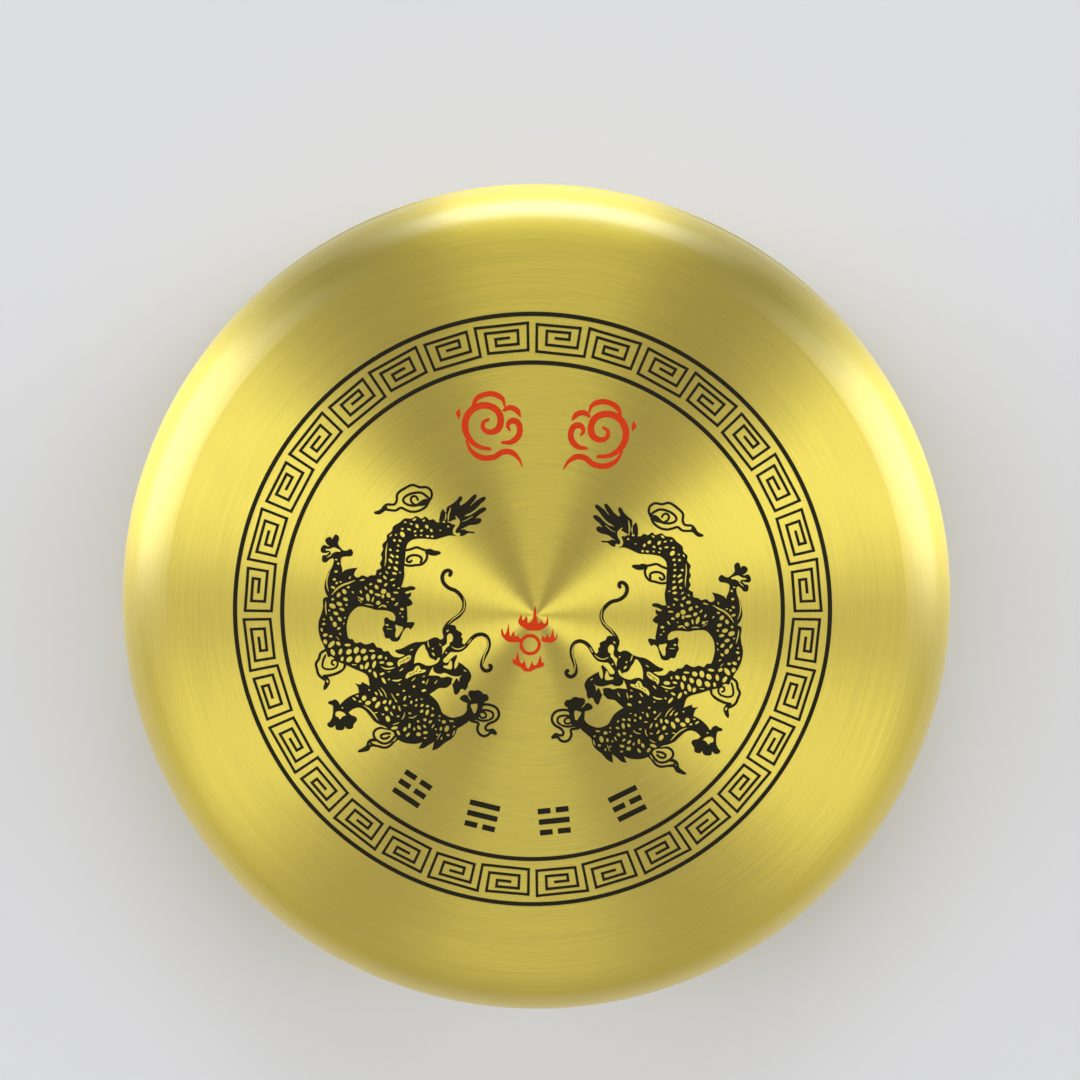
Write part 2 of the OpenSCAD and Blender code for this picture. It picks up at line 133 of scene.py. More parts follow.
# Materials
class Nodes:
    """Short calls for building one node material."""

    def __init__(self, name):
        self.material = bpy.data.materials.new(name)
        self.material.use_nodes = True
        self.tree = self.material.node_tree
        self.bsdf = self.tree.nodes["Principled BSDF"]

    def feed(self, value, socket):
        """Puts a value or another node's output into a socket."""
        if isinstance(value, bpy.types.NodeSocket):
            self.tree.links.new(value, socket)
        else:
            socket.default_value = value

    def add(self, kind, *values, **settings):
        """A node with these settings, and with these values in its first sockets."""
        node = self.tree.nodes.new(kind)
        for key, setting in settings.items():
            setattr(node, key, setting)
        for socket, value in zip(node.inputs, values):
            self.feed(value, socket)
        return node

    def set(self, **values):
        """Puts values into the shader's sockets."""
        for key, value in values.items():
            self.feed(value, self.bsdf.inputs[key.replace("_", " ")])

    def math(self, operation, *values):
        return self.add("ShaderNodeMath", *values, operation=operation).outputs[0]

    def vector(self, operation, *values):
        node = self.add("ShaderNodeVectorMath", *values, operation=operation)
        return node.outputs["Value" if operation == "LENGTH" else "Vector"]

    def split(self, vector):
        return self.add("ShaderNodeSeparateXYZ", vector).outputs

    def join(self, *parts):
        return self.add("ShaderNodeCombineXYZ", *parts).outputs[0]

    def range(self, value, from_low, from_high, low, high):
        return self.add("ShaderNodeMapRange", value, from_low, from_high, low, high).outputs["Result"]

    def spread(self, noise, low=0.0, high=1.0):
        """A noise spread out from low to high."""
        return self.range(noise, NOISE_LOW, NOISE_HIGH, low, high)

    def noise(self, vector, scale, detail=2.0, roughness=0.5, output="Fac"):
        node = self.add("ShaderNodeTexNoise")
        values = {"Vector": vector, "Scale": scale, "Detail": detail, "Roughness": roughness}
        for key, value in values.items():
            self.feed(value, node.inputs[key])
        return node.outputs[output]

    def mix(self, factor, a, b):
        node = self.add("ShaderNodeMix", factor, data_type="RGBA")
        self.feed(a, node.inputs[6])        # sockets 6 and 7 hold the two colours
        self.feed(b, node.inputs[7])
        return node.outputs[2]

    def bump(self, height, distance, strength, normal=None):
        node = self.add("ShaderNodeBump")
        for key, value in {"Height": height, "Distance": distance, "Strength": strength}.items():
            self.feed(value, node.inputs[key])
        if normal:
            self.feed(normal, node.inputs["Normal"])
        return node.outputs["Normal"]

    def position(self):
        return self.add("ShaderNodeTexCoord").outputs["Object"]

    def warp(self, vector, scale, amount):
        """The vector, pushed about by a noise so that straight patterns wander."""
        push = self.noise(vector, scale, output="Color")
        return self.vector("ADD", vector, self.vector("MULTIPLY", push, (amount,) * 3))


def shaded(colour, share):
    """The colour, darker or lighter, as a shader takes it."""
    return tuple(min(1.0, c * share) for c in colour) + (1.0,)


def turned_coordinates(n, pitch, around):
    """Coordinates for marks that run round the axis, a pitch apart. A smaller around makes them longer."""
    x, y, z = n.split(n.position())
    flat = n.join(x, y)
    profile = n.math("ADD", n.vector("LENGTH", flat), n.math("MULTIPLY", z, HEIGHT_SHARE))
    unit = n.split(n.vector("NORMALIZE", flat))
    return n.join(n.math("MULTIPLY", profile, 1 / (pitch * MM)),
                  n.math("MULTIPLY", unit[0], around), n.math("MULTIPLY", unit[1], around))


def turned_normal(n):
    """The normal of a turned surface without the slight sideways lean that its facets and seams give it."""
    place = n.add("ShaderNodeTexCoord")
    flat = n.vector("MULTIPLY", place.outputs["Object"], (1, 1, 0))
    around = n.vector("NORMALIZE", n.vector("CROSS_PRODUCT", flat, (0, 0, 1)))
    lean = n.vector("PROJECT", place.outputs["Normal"], around)
    slight = n.math("LESS_THAN", n.vector("LENGTH", lean), FACET_LEAN)
    upright = n.vector("SUBTRACT", place.outputs["Normal"], n.vector("MULTIPLY", lean, slight))
    turn = n.add("ShaderNodeVectorTransform", n.vector("NORMALIZE", upright),
                 vector_type="NORMAL", convert_from="OBJECT", convert_to="WORLD")
    return turn.outputs[0]


def circular_brushed(name, colour, roughness, anisotropy, coat=0.0):
    """Brass with fine concentric brush lines."""
    n = Nodes(name)
    fine = n.noise(turned_coordinates(n, FINE_PITCH, 2.2), 1.0, 3.0, 0.6)
    wide = n.noise(turned_coordinates(n, BAND_PITCH, 0.7), 1.0)
    streak = n.noise(turned_coordinates(n, STREAK_PITCH, 9.0), 1.0, 2.0, 0.6)
    blotch = n.noise(n.position(), 90.0)
    deep, pale = shaded(colour, 0.86), shaded(colour, 1.06)
    base = n.mix(n.spread(fine), deep, pale)
    base = n.mix(n.spread(wide, 0.0, 0.25), base, pale)
    base = n.mix(n.range(streak, 0.55, 0.75, 0.0, 0.35), base, shaded(colour, 0.8))
    rough = n.math("ADD", n.spread(fine, roughness - 0.03, roughness + 0.03), n.spread(blotch, -0.02, 0.02))
    tangent = n.add("ShaderNodeTangent", direction_type="RADIAL", axis="Z")
    n.set(Base_Color=base, Roughness=rough, Metallic=1.0,
          Normal=n.bump(fine, BRUSH_DEPTH * MM, 0.5, turned_normal(n)),
          Tangent=tangent.outputs[0], Anisotropic=anisotropy, Anisotropic_Rotation=0.25,
          Coat_Weight=coat, Coat_Roughness=0.28, Coat_IOR=1.8)
    return n.material


def satin_metal(name, colour, roughness):
    """Small machined metal: cloudy tone, fine scratches that run every way, a little tarnish."""
    n = Nodes(name)
    place = n.position()
    tone = n.noise(place, 260.0, 3.0)
    stretched = n.vector("MULTIPLY", n.warp(place, 900.0, 0.002), (9000.0, 1400.0, 9000.0))
    scratch = n.noise(stretched, 1.0, 3.0, 0.7)
    tarnish = n.range(n.noise(place, 900.0, 5.0), 0.5, 0.8, 0.0, 0.18)
    browned = shaded([c * share for c, share in zip(colour, (0.75, 0.66, 0.6))], 1.0)
    base = n.mix(n.spread(tone), shaded(colour, 0.88), shaded(colour, 1.05))
    n.set(Base_Color=n.mix(tarnish, base, browned), Metallic=1.0,
          Roughness=n.spread(scratch, roughness - 0.06, roughness + 0.08),
          Normal=n.bump(scratch, 0.004 * MM, 0.5))
    return n.material


def moulded(name, colour, roughness, grain, coat=0.0, sheen=0.0, specular=0.5):
    """Plastic, rubber, enamel or bakelite: two close tones, moulded grain and scuffed gloss."""
    n = Nodes(name)
    place = n.position()
    tone = n.noise(place, 180.0, 4.0, 0.6)
    pores = n.noise(place, grain, 3.0, 0.6)
    scuff = n.noise(place, 420.0, 5.0, 0.7)
    base = n.mix(n.range(tone, 0.35, 0.65, 0.0, 1.0), shaded(colour, 0.9), shaded(colour, 1.1))
    n.set(Base_Color=base, Roughness=n.range(scuff, 0.35, 0.7, roughness - 0.05, roughness + 0.12),
          Normal=n.bump(pores, 0.01 * MM, 0.4), Coat_Weight=coat, Coat_Roughness=0.08,
          Sheen_Weight=sheen, Specular_IOR_Level=specular)
    return n.material


def clear(name, colour, ior, roughness, through=1.0, alpha=1.0):
    """Glass, spirit or jewel: clear by the share through, with a faint haze of wiped fingermarks."""
    n = Nodes(name)
    place = n.position()
    haze = n.noise(place, 240.0, 4.0, 0.6)
    ripple = n.noise(place, 120.0)
    n.set(Base_Color=n.mix(n.spread(haze), shaded(colour, 1.0), shaded(colour, 0.97)),
          Roughness=n.range(haze, 0.45, 0.75, roughness, roughness + 0.008),
          Normal=n.bump(ripple, 0.001 * MM, 0.2), Transmission_Weight=through, IOR=ior, Alpha=alpha)
    return n.material


def thread_cotton():
    """Dyed cotton: fibres that lie along the strands, matt with a soft sheen."""
    n = Nodes("red_thread_cotton")
    place = n.position()
    fibre = n.noise(place, 9000.0, 4.0, 0.7)
    dye = n.noise(place, 900.0)
    n.set(Base_Color=n.mix(n.spread(dye), (0.5, 0.018, 0.014, 1), (0.74, 0.05, 0.035, 1)),
          Roughness=n.spread(fibre, 0.62, 0.86), Normal=n.bump(fibre, 0.02 * MM, 0.7),
          Sheen_Weight=0.35, Specular_IOR_Level=0.3)
    return n.material


def printed_ink(name, colour, roughness):
    """Baked screen ink: the brush lines of the metal show through a little."""
    n = Nodes(name)
    fine = n.noise(turned_coordinates(n, 0.14, 2.2), 1.0)
    grain = n.noise(n.position(), 4000.0, 3.0)
    shade = n.math("MULTIPLY", n.range(fine, 0.35, 0.7, 0.0, 1.0), n.spread(grain, 0.4, 1.0))
    lighter = tuple(c * 1.25 + 0.004 for c in colour) + (1.0,)
    n.set(Base_Color=n.mix(shade, shaded(colour, 1.0), lighter),
          Roughness=n.spread(grain, roughness - 0.06, roughness + 0.06),
          Normal=n.bump(fine, 0.003 * MM, 0.5), Specular_IOR_Level=0.12)
    return n.material


LACQUERED = {"colour": (0.92, 0.745, 0.085), "roughness": 0.43, "anisotropy": 1.0, "coat": 1.0}
lid_brass = circular_brushed("lid_brass_brushed", **LACQUERED)
case_brass = circular_brushed("case_brass_brushed", **LACQUERED)
face_brass = circular_brushed("face_brass_turned", (0.88, 0.7, 0.22), 0.5, 0.6)
fitting_brass = satin_metal("fitting_brass_satin", (0.86, 0.67, 0.25), 0.34)
screw_brass = satin_metal("screw_brass_bright", (0.92, 0.77, 0.38), 0.3)
spring_bronze = satin_metal("spring_bronze", (0.72, 0.46, 0.24), 0.32)
pin_steel = satin_metal("pin_steel_polished", (0.78, 0.78, 0.8), 0.16)
blued_steel = satin_metal("needle_steel_blued", (0.05, 0.065, 0.12), 0.26)
bakelite = moulded("black_bakelite", (0.03, 0.027, 0.025), 0.3, 2500.0, coat=0.4)
white_plastic = moulded("white_plastic", (0.8, 0.79, 0.75), 0.4, 3000.0)
white_enamel = moulded("white_enamel", (0.82, 0.81, 0.77), 0.22, 1500.0, coat=0.5)
black_rubber = moulded("black_rubber", (0.028, 0.028, 0.029), 0.7, 5000.0, sheen=0.2, specular=0.3)
glass = clear("window_glass", (0.97, 0.99, 0.98), 1.5, 0.0, alpha=0.15)
spirit = clear("level_spirit", (0.6, 0.85, 0.1), 1.36, 0.02, through=0.35)
ruby = clear("needle_jewel_ruby", (0.62, 0.06, 0.08), 1.76, 0.02, through=0.8)
red_cotton = thread_cotton()
black_ink = printed_ink("black_print", (0.011, 0.009, 0.003), 0.5)
red_ink = printed_ink("red_print", (0.55, 0.034, 0.003), 0.45)

FINISHES = {
    lid_brass: ("lid_shell",),
    case_brass: ("case_base",),
    face_brass: ("outer_ring", "dial_plate", "pool_bezel", "dial_hub", "pool_cup"),
    fitting_brass: ("tube_level_trough", "round_level_cup", "needle_cap"),
    screw_brass: ("ring_screws", "thread_posts", "hub_screw", "pool_screws"),
    spring_bronze: ("spring_washer",),
    pin_steel: ("pivot_pin",),
    blued_steel: ("needle",),
    bakelite: ("dial_core",),
    white_plastic: ("tube_level_plugs", "thrust_washer"),
    white_enamel: ("pool_disc",),
    black_rubber: ("pool_gasket",),
    glass: ("tube_level_vial", "round_level_window", "pool_glass"),
    spirit: ("tube_level_fluid", "round_level_fluid"),
    ruby: ("needle_jewel",),
    red_cotton: ("thread_north_south", "thread_east_west"),
}
for finish, names in FINISHES.items():
    for name in names:
        slots = NODES[name].data.materials
        for index in range(len(slots)):
            slots[index] = finish


# Prints
def smooth_line(points, closed):
    """A smooth line through given points; a third value makes a point a corner."""
    count = len(points)
    line = []
    for i in range(count if closed else count - 1):
        j = (i + 1) % count
        (ax, ay), (bx, by) = points[i][:2], points[j][:2]
        cx, cy = bx - ax, by - ay
        chord = math.hypot(cx, cy)
        ends = []
        for k in (i, j):
            free = closed or 0 < k < count - 1
            if len(points[k]) > 2 or not free:
                ends.append((cx, cy))
                continue
            (px, py), (nx, ny) = points[k - 1][:2], points[(k + 1) % count][:2]
            length = math.hypot(nx - px, ny - py) or 1.0
            ends.append(((nx - px) / length * chord, (ny - py) / length * chord))
        (mx, my), (qx, qy) = ends
        steps = max(1, min(MOST_STEPS, math.ceil(chord / STEP)))
        for s in range(steps):
            t = s / steps
            a, b = 2 * t ** 3 - 3 * t ** 2 + 1, t ** 3 - 2 * t ** 2 + t
            c, d = 3 * t ** 2 - 2 * t ** 3, t ** 3 - t ** 2
            line.append((a * ax + b * mx + c * bx + d * qx, a * ay + b * my + c * by + d * qy))
    if not closed:
        line.append(tuple(points[-1][:2]))
    return line


def oval(x, y, along, across, sides, angle=0.0):
    """The corners of an oval by its two radii, the first of them at that angle in degrees."""
    c, s = math.cos(math.radians(angle)), math.sin(math.radians(angle))
    turns = [2 * math.pi * k / sides for k in range(sides)]
    corners = [(along * math.cos(a), across * math.sin(a)) for a in turns]
    return [(x + u * c - v * s, y + u * s + v * c) for u, v in corners]


class Picture:
    """Flat shapes laid over each other: ink, and gaps that bare the brass again."""

    def __init__(self):
        self.shapes = []

    def block(self, corners):
        """A straight-sided shape of ink."""
        self.shapes.append((True, corners))

    def ink(self, *points):
        self.shapes.append((True, smooth_line(points, True)))

    def gap(self, *points):
        self.shapes.append((False, smooth_line(points, True)))

    def line(self, width, *points, ink=True, tips=(1.0, 1.0)):
        """A stroke of one width, thinner towards its ends by the shares in tips."""
        path = smooth_line(points, False)
        left, right = [], []
        last = len(path) - 1
        for i, (x, y) in enumerate(path):
            (px, py), (nx, ny) = path[max(0, i - 1)], path[min(last, i + 1)]
            length = math.hypot(nx - px, ny - py) or 1.0
            taper = min([1.0] + [tip + (1 - tip) * share * TAPER_RATE
                                 for tip, share in zip(tips, (i / last, 1 - i / last))])
            h = width / 2 * taper
            ox, oy = -(ny - py) / length * h, (nx - px) / length * h
            left.append((x + ox, y + oy))
            right.append((x - ox, y - oy))

        def cap(end, side, tip):
            """The round end of the stroke, from that side over to the other."""
            start, h = math.atan2(side[1] - end[1], side[0] - end[0]), width / 2 * tip
            turns = [start - math.pi * k / CAP_STEPS for k in range(1, CAP_STEPS)]
            return [(end[0] + h * math.cos(a), end[1] + h * math.sin(a)) for a in turns]

        outline = left + cap(path[-1], left[-1], tips[1]) + right[::-1] + cap(path[0], right[0], tips[0])
        self.shapes.append((ink, outline))

    def cut(self, width, *points, tips=(0.4, 0.4)):
        self.line(width, *points, ink=False, tips=tips)

    def fleck(self, x, y, length, width, angle):
        """A bare scale: an oval with its long way at that angle, in degrees."""
        grown = SCALE_GROWTH / 2
        self.shapes.append((False, oval(x, y, length * grown, width * grown, SCALE_SIDES, angle)))

    def disc(self, x, y, radius, sides):
        self.block(oval(x, y, radius, radius, sides))

    def ring(self, x, y, outer, inner, sides=48):
        """A round band of ink. What is drawn before it inside its hole is bared."""
        self.disc(x, y, outer, sides)
        self.shapes.append((False, oval(x, y, inner, inner, sides)))


def dragon(p):
    """The left dragon with its clouds, in millimetres from the middle of the lid."""
    # hind foot by the tail, leg and toes
    p.ink((-23.95, 3.4), (-23.75, 4.3), (-23.75, 5.0), (-24.2, 4.85), (-24.55, 4.5), (-25.0, 4.55),
          (-25.08, 4.95), (-25.0, 5.3), (-24.6, 5.35), (-24.25, 5.72, 1), (-24.75, 5.58), (-25.2, 5.65),
          (-25.28, 6.1), (-24.9, 6.55), (-24.5, 6.4), (-24.3, 6.42, 1), (-24.65, 6.7), (-24.82, 7.1),
          (-24.55, 7.45), (-24.2, 7.5), (-24.0, 7.25, 1), (-23.85, 7.6), (-23.65, 7.85), (-23.3, 7.7),
          (-23.2, 7.35), (-23.3, 6.8), (-22.95, 6.3), (-22.55, 6.02), (-22.15, 6.1), (-21.85, 6.28),
          (-21.55, 6.05), (-21.5, 5.65), (-21.75, 5.4), (-22.3, 5.35), (-22.8, 5.15), (-22.85, 4.6),
          (-22.7, 3.3))
    p.gap((-24.75, 5.98), (-24.25, 6.1), (-23.75, 6.32), (-23.3, 6.18), (-22.95, 5.92), (-23.4, 5.85),
          (-23.75, 5.72), (-24.0, 5.55), (-24.2, 5.86))
    p.cut(0.12, (-24.5, 5.1), (-24.2, 5.3), (-23.95, 5.55))
    # body: tail down to the hips, round to the left and back to the neck
    p.ink((-9.7, 9.9), (-10.9, 10.2), (-11.9, 10.12), (-12.35, 10.45), (-12.8, 10.32), (-13.3, 10.68),
          (-13.7, 10.4), (-14.35, 10.66), (-14.9, 10.35), (-15.7, 10.28), (-16.25, 9.8), (-16.98, 9.25),
          (-17.12, 8.7), (-17.65, 8.2), (-17.65, 7.65), (-18.12, 7.05), (-18.0, 6.5), (-18.22, 5.9),
          (-18.05, 5.4), (-18.28, 4.8), (-18.1, 4.3), (-18.62, 3.98), (-18.7, 3.45), (-19.25, 3.35),
          (-19.65, 3.12), (-20.25, 3.28), (-20.75, 2.98), (-21.2, 3.2), (-21.15, 3.6), (-20.85, 4.12, 1),
          (-21.6, 4.0), (-22.3, 3.75), (-22.75, 3.4), (-23.95, 3.7), (-24.4, 2.8), (-24.62, 1.7),
          (-24.45, 0.95), (-24.15, 0.45, 1), (-24.65, 0.22), (-24.65, -0.8), (-24.8, -1.6), (-25.05, -2.5),
          (-25.02, -3.6), (-24.72, -4.6), (-24.3, -5.4), (-24.05, -5.9), (-23.6, -6.8), (-22.2, -7.3),
          (-21.55, -7.5), (-20.5, -7.92), (-19.3, -8.35), (-18.85, -8.75), (-18.6, -9.4), (-16.0, -9.0),
          (-15.2, -6.9), (-15.35, -6.15, 1), (-16.0, -6.1), (-16.35, -5.85), (-16.7, -5.48), (-17.2, -5.55),
          (-17.5, -5.2), (-18.05, -5.1), (-18.5, -4.6), (-19.0, -4.78), (-19.45, -4.88), (-20.0, -4.66),
          (-20.6, -4.78), (-20.95, -4.36), (-21.4, -4.32), (-21.65, -3.5), (-21.72, -2.6), (-21.5, -1.6),
          (-21.05, -0.92), (-20.4, -0.45), (-19.1, -0.55), (-18.5, -0.7), (-17.2, -0.7), (-16.45, -0.9),
          (-16.08, -1.35), (-16.02, -1.9), (-14.75, -1.9), (-14.7, -1.0), (-14.8, -0.05, 1), (-14.4, 0.08),
          (-14.13, 0.32, 1), (-14.35, 0.72), (-14.68, 0.98, 1), (-14.45, 1.2), (-14.4, 1.66, 1),
          (-15.05, 1.5), (-14.6, 1.85), (-14.05, 1.98), (-13.95, 2.25), (-14.5, 2.4), (-15.1, 2.22),
          (-15.62, 2.2, 1), (-15.45, 2.8), (-15.32, 3.6), (-15.4, 4.4), (-15.36, 5.6), (-15.32, 6.8),
          (-15.1, 7.45), (-14.5, 7.9), (-13.5, 8.06), (-12.0, 8.08), (-11.2, 8.35), (-10.3, 8.65),
          (-9.4, 8.62, 1), (-9.95, 8.95), (-9.75, 9.4))
    # tail tuft: a crown of flames
    p.ink((-11.55, 10.1), (-11.62, 10.8), (-11.5, 11.4), (-11.3, 11.75, 1), (-11.0, 11.35),
          (-10.9, 11.3, 1), (-10.85, 11.9), (-10.3, 12.35), (-9.8, 12.8), (-9.45, 13.3), (-9.2, 13.32),
          (-9.12, 13.0), (-9.4, 12.45), (-9.25, 12.25, 1), (-8.7, 12.65), (-8.2, 13.2), (-7.75, 13.65),
          (-7.5, 13.62), (-7.5, 13.3), (-7.85, 12.75, 1), (-7.4, 13.0), (-6.9, 13.35), (-6.5, 13.48),
          (-6.42, 13.15), (-6.9, 12.65), (-7.45, 12.0), (-8.1, 11.45), (-8.75, 11.05, 1), (-8.2, 11.15),
          (-7.6, 11.55), (-7.0, 12.05), (-6.5, 12.25), (-6.25, 12.1), (-6.45, 11.75), (-7.0, 11.35),
          (-7.45, 10.85, 1), (-7.0, 10.95), (-6.75, 10.8), (-6.8, 10.45), (-7.3, 10.15), (-8.1, 10.0),
          (-8.8, 9.6, 1), (-8.3, 9.35), (-7.85, 9.3), (-7.4, 9.25), (-7.6, 9.1), (-8.15, 9.1), (-8.7, 8.75),
          (-9.1, 8.7), (-9.15, 9.05), (-9.6, 9.0), (-9.65, 9.35), (-9.3, 9.95), (-9.25, 10.5),
          (-9.6, 10.65), (-10.4, 10.3))
    p.cut(0.17, (-10.6, 10.3), (-10.6, 11.1), (-10.4, 11.9))
    p.cut(0.13, (-10.95, 11.2), (-10.9, 10.85), (-11.0, 10.4))
    p.cut(0.3, (-9.75, 10.95), (-9.45, 10.55), (-9.4, 10.2), (-9.65, 9.7), (-9.85, 9.2), (-9.55, 8.85),
          (-9.2, 8.75))
    p.cut(0.12, (-8.75, 11.05), (-8.3, 11.3), (-7.9, 11.45))
    p.cut(0.1, (-8.1, 12.35), (-7.85, 12.65), (-7.6, 12.85))
    p.cut(0.1, (-9.0, 10.4), (-8.5, 10.6), (-8.0, 10.95), (-7.7, 11.1))
    p.cut(0.13, (-9.0, 9.45), (-8.6, 9.65), (-8.1, 9.85), (-7.5, 10.05))
    # torso, the left hind leg, belly, the right foreleg and the lower jaw
    p.ink((-19.0, -8.1), (-18.78, -9.0), (-18.62, -9.82, 1), (-19.05, -9.6), (-19.55, -9.38, 1),
          (-19.72, -9.7), (-20.35, -9.6, 1), (-20.0, -10.05), (-19.85, -10.7, 1), (-20.7, -11.08),
          (-21.5, -11.7), (-22.0, -12.3, 1), (-22.25, -11.9), (-22.6, -11.7), (-23.0, -11.88),
          (-23.4, -12.02), (-23.35, -12.3), (-22.9, -12.42), (-22.78, -12.9), (-22.85, -13.9),
          (-23.1, -14.4), (-23.38, -14.7), (-23.25, -15.02), (-22.8, -15.12), (-22.4, -14.82, 1),
          (-22.35, -15.25), (-21.9, -15.38), (-21.4, -15.25), (-21.25, -14.85, 1), (-21.05, -15.12),
          (-20.6, -15.15), (-20.3, -14.95), (-20.25, -14.55), (-19.95, -14.15), (-19.88, -13.85),
          (-20.1, -13.6), (-20.6, -13.45), (-20.92, -13.15, 1), (-20.4, -12.7), (-19.7, -12.5),
          (-19.05, -12.75), (-18.4, -13.4), (-17.85, -14.0), (-17.2, -14.35), (-16.5, -14.6),
          (-16.0, -15.1), (-15.2, -15.8), (-14.9, -16.02), (-14.2, -16.32), (-13.3, -16.42),
          (-12.6, -16.35), (-12.0, -16.15, 1), (-12.42, -16.92, 1), (-11.8, -16.85), (-11.2, -16.4),
          (-10.6, -16.0, 1), (-10.78, -17.05, 1), (-10.1, -16.75), (-9.3, -16.0), (-8.6, -15.5),
          (-8.15, -14.9), (-7.95, -14.25), (-7.5, -13.9), (-6.9, -13.45), (-6.5, -13.1), (-5.6, -12.9),
          (-5.3, -11.6), (-5.8, -11.1), (-6.9, -11.1), (-7.0, -12.0), (-7.4, -12.5), (-8.05, -12.8),
          (-8.7, -12.92), (-9.3, -12.75), (-9.85, -12.4), (-10.1, -11.9), (-10.4, -11.3), (-10.85, -10.8),
          (-11.5, -10.32, 1), (-10.95, -9.9), (-10.4, -9.5), (-9.6, -9.4), (-9.2, -9.1), (-8.95, -8.85, 1),
          (-8.75, -9.4), (-8.6, -10.0), (-8.42, -10.2, 1), (-8.1, -9.95), (-7.85, -9.45, 1), (-7.62, -9.38),
          (-7.35, -9.58, 1), (-7.08, -9.2), (-7.0, -8.7), (-6.8, -8.3), (-6.7, -7.8), (-7.0, -7.15),
          (-7.45, -6.75), (-7.95, -6.4), (-8.35, -6.2, 1), (-8.4, -6.6), (-8.7, -7.05), (-9.6, -7.2),
          (-10.2, -6.6), (-11.2, -6.5), (-12.0, -6.8), (-13.5, -6.6), (-14.0, -5.8), (-15.4, -6.2),
          (-16.5, -6.9))
    # head: mane, brow, eye socket and snout
    p.ink((-15.88, -5.38), (-15.4, -5.18), (-14.9, -4.95), (-14.3, -4.55), (-13.6, -4.22), (-12.9, -4.12),
          (-12.3, -3.98), (-11.85, -3.72), (-11.4, -3.48), (-10.95, -3.5), (-10.65, -3.68), (-10.4, -3.6),
          (-10.3, -3.3), (-10.42, -2.9), (-10.45, -2.4), (-10.2, -2.0), (-9.6, -1.85), (-9.0, -1.92),
          (-8.8, -2.35), (-8.35, -2.62), (-8.1, -2.85), (-8.2, -3.15), (-8.0, -3.45), (-8.02, -3.9),
          (-7.7, -4.1), (-7.4, -4.2), (-7.9, -4.75), (-8.5, -5.0), (-9.3, -5.1), (-9.75, -5.6),
          (-10.15, -6.2), (-9.7, -6.4), (-9.3, -5.95), (-8.95, -5.6), (-8.62, -5.38), (-8.52, -5.6),
          (-8.7, -6.1), (-8.78, -6.6), (-8.8, -7.3), (-9.6, -7.6), (-11.2, -7.4), (-12.4, -7.2),
          (-13.6, -7.0), (-14.4, -7.2), (-14.7, -5.9), (-15.5, -5.7))
    p.gap((-12.55, -4.42), (-12.3, -4.9), (-12.05, -5.3), (-11.75, -5.9), (-11.3, -6.15), (-11.05, -6.4),
          (-10.6, -5.85), (-10.72, -6.35), (-11.1, -6.65), (-11.6, -6.85), (-12.1, -6.9), (-12.6, -6.7),
          (-13.1, -6.6), (-13.55, -6.78, 1), (-13.5, -6.0), (-13.3, -5.3), (-13.0, -4.8))
    p.gap((-9.58, -2.88), (-9.3, -3.0), (-9.15, -3.4), (-9.28, -3.85), (-9.5, -3.95), (-9.5, -4.25),
          (-9.85, -4.62), (-10.08, -5.0), (-10.32, -5.5, 1), (-10.3, -4.95), (-10.35, -4.55),
          (-10.08, -4.35), (-9.85, -4.05), (-9.86, -3.6), (-9.86, -3.2))
    p.gap((-9.32, -6.12), (-9.15, -6.1), (-9.1, -7.08), (-9.6, -7.12), (-10.1, -6.92), (-9.95, -6.75),
          (-9.6, -6.72))
    p.gap((-8.58, -6.08), (-8.35, -6.2), (-8.38, -6.6), (-8.68, -6.95), (-8.78, -6.5))
    p.gap((-11.75, -8.05, 1), (-11.5, -7.4), (-11.28, -6.98, 1), (-11.18, -7.5), (-10.8, -7.75),
          (-10.3, -7.78), (-9.9, -7.62), (-9.4, -7.78), (-8.8, -7.95), (-8.2, -7.92), (-7.8, -7.72, 1),
          (-8.02, -8.02), (-8.12, -8.6, 1), (-8.4, -8.18), (-8.72, -8.5), (-8.95, -8.2), (-9.5, -8.05),
          (-10.2, -8.2), (-10.6, -8.02), (-11.2, -8.02))
    p.gap((-8.62, -8.35), (-8.78, -8.8), (-8.95, -8.95), (-8.98, -8.6), (-8.85, -8.3))
    # mane: combed patches behind the head
    p.gap((-15.45, -6.6), (-14.9, -6.2), (-14.05, -5.8), (-14.0, -6.25), (-14.5, -6.7), (-15.1, -6.95),
          (-15.35, -7.25))
    p.gap((-14.42, -8.62), (-14.22, -7.95), (-13.6, -7.6), (-13.3, -7.1), (-12.95, -7.0), (-12.7, -7.4),
          (-12.1, -7.45), (-12.3, -7.72), (-12.9, -7.9), (-13.5, -8.1), (-14.0, -8.4))
    for x, y, angle in ((-15.15, -6.72, 30), (-14.9, -6.5, 60), (-14.65, -6.4, 35), (-14.4, -6.2, 60),
                        (-14.2, -6.15, 40), (-14.75, -6.7, 45), (-13.9, -8.05, 30), (-13.55, -7.85, 60),
                        (-13.2, -7.65, 35), (-13.1, -7.35, 60), (-12.75, -7.65, 30)):
        c, s = math.cos(math.radians(angle)), math.sin(math.radians(angle))
        p.line(0.09, (x - 0.1 * c, y - 0.1 * s), (x + 0.1 * c, y + 0.1 * s))
    p.cut(0.14, (-11.35, -6.1), (-10.95, -6.3), (-10.72, -5.85))
    p.cut(0.13, (-12.1, -3.95), (-12.02, -4.35), (-11.9, -4.7))
    for x, y, length, width, angle in ((-11.35, -5.5, 0.42, 0.2, -50), (-11.45, -4.85, 0.2, 0.16, 20),
                                       (-10.6, -4.3, 0.26, 0.13, -50), (-9.85, -2.6, 0.3, 0.16, 40),
                                       (-13.95, -5.15, 0.36, 0.11, 30), (-9.85, -5.2, 0.22, 0.14, -40),
                                       (-7.5, -7.2, 0.32, 0.13, -25), (-15.0, -7.6, 0.5, 0.14, 42)):
        p.fleck(x, y, length, width, angle)
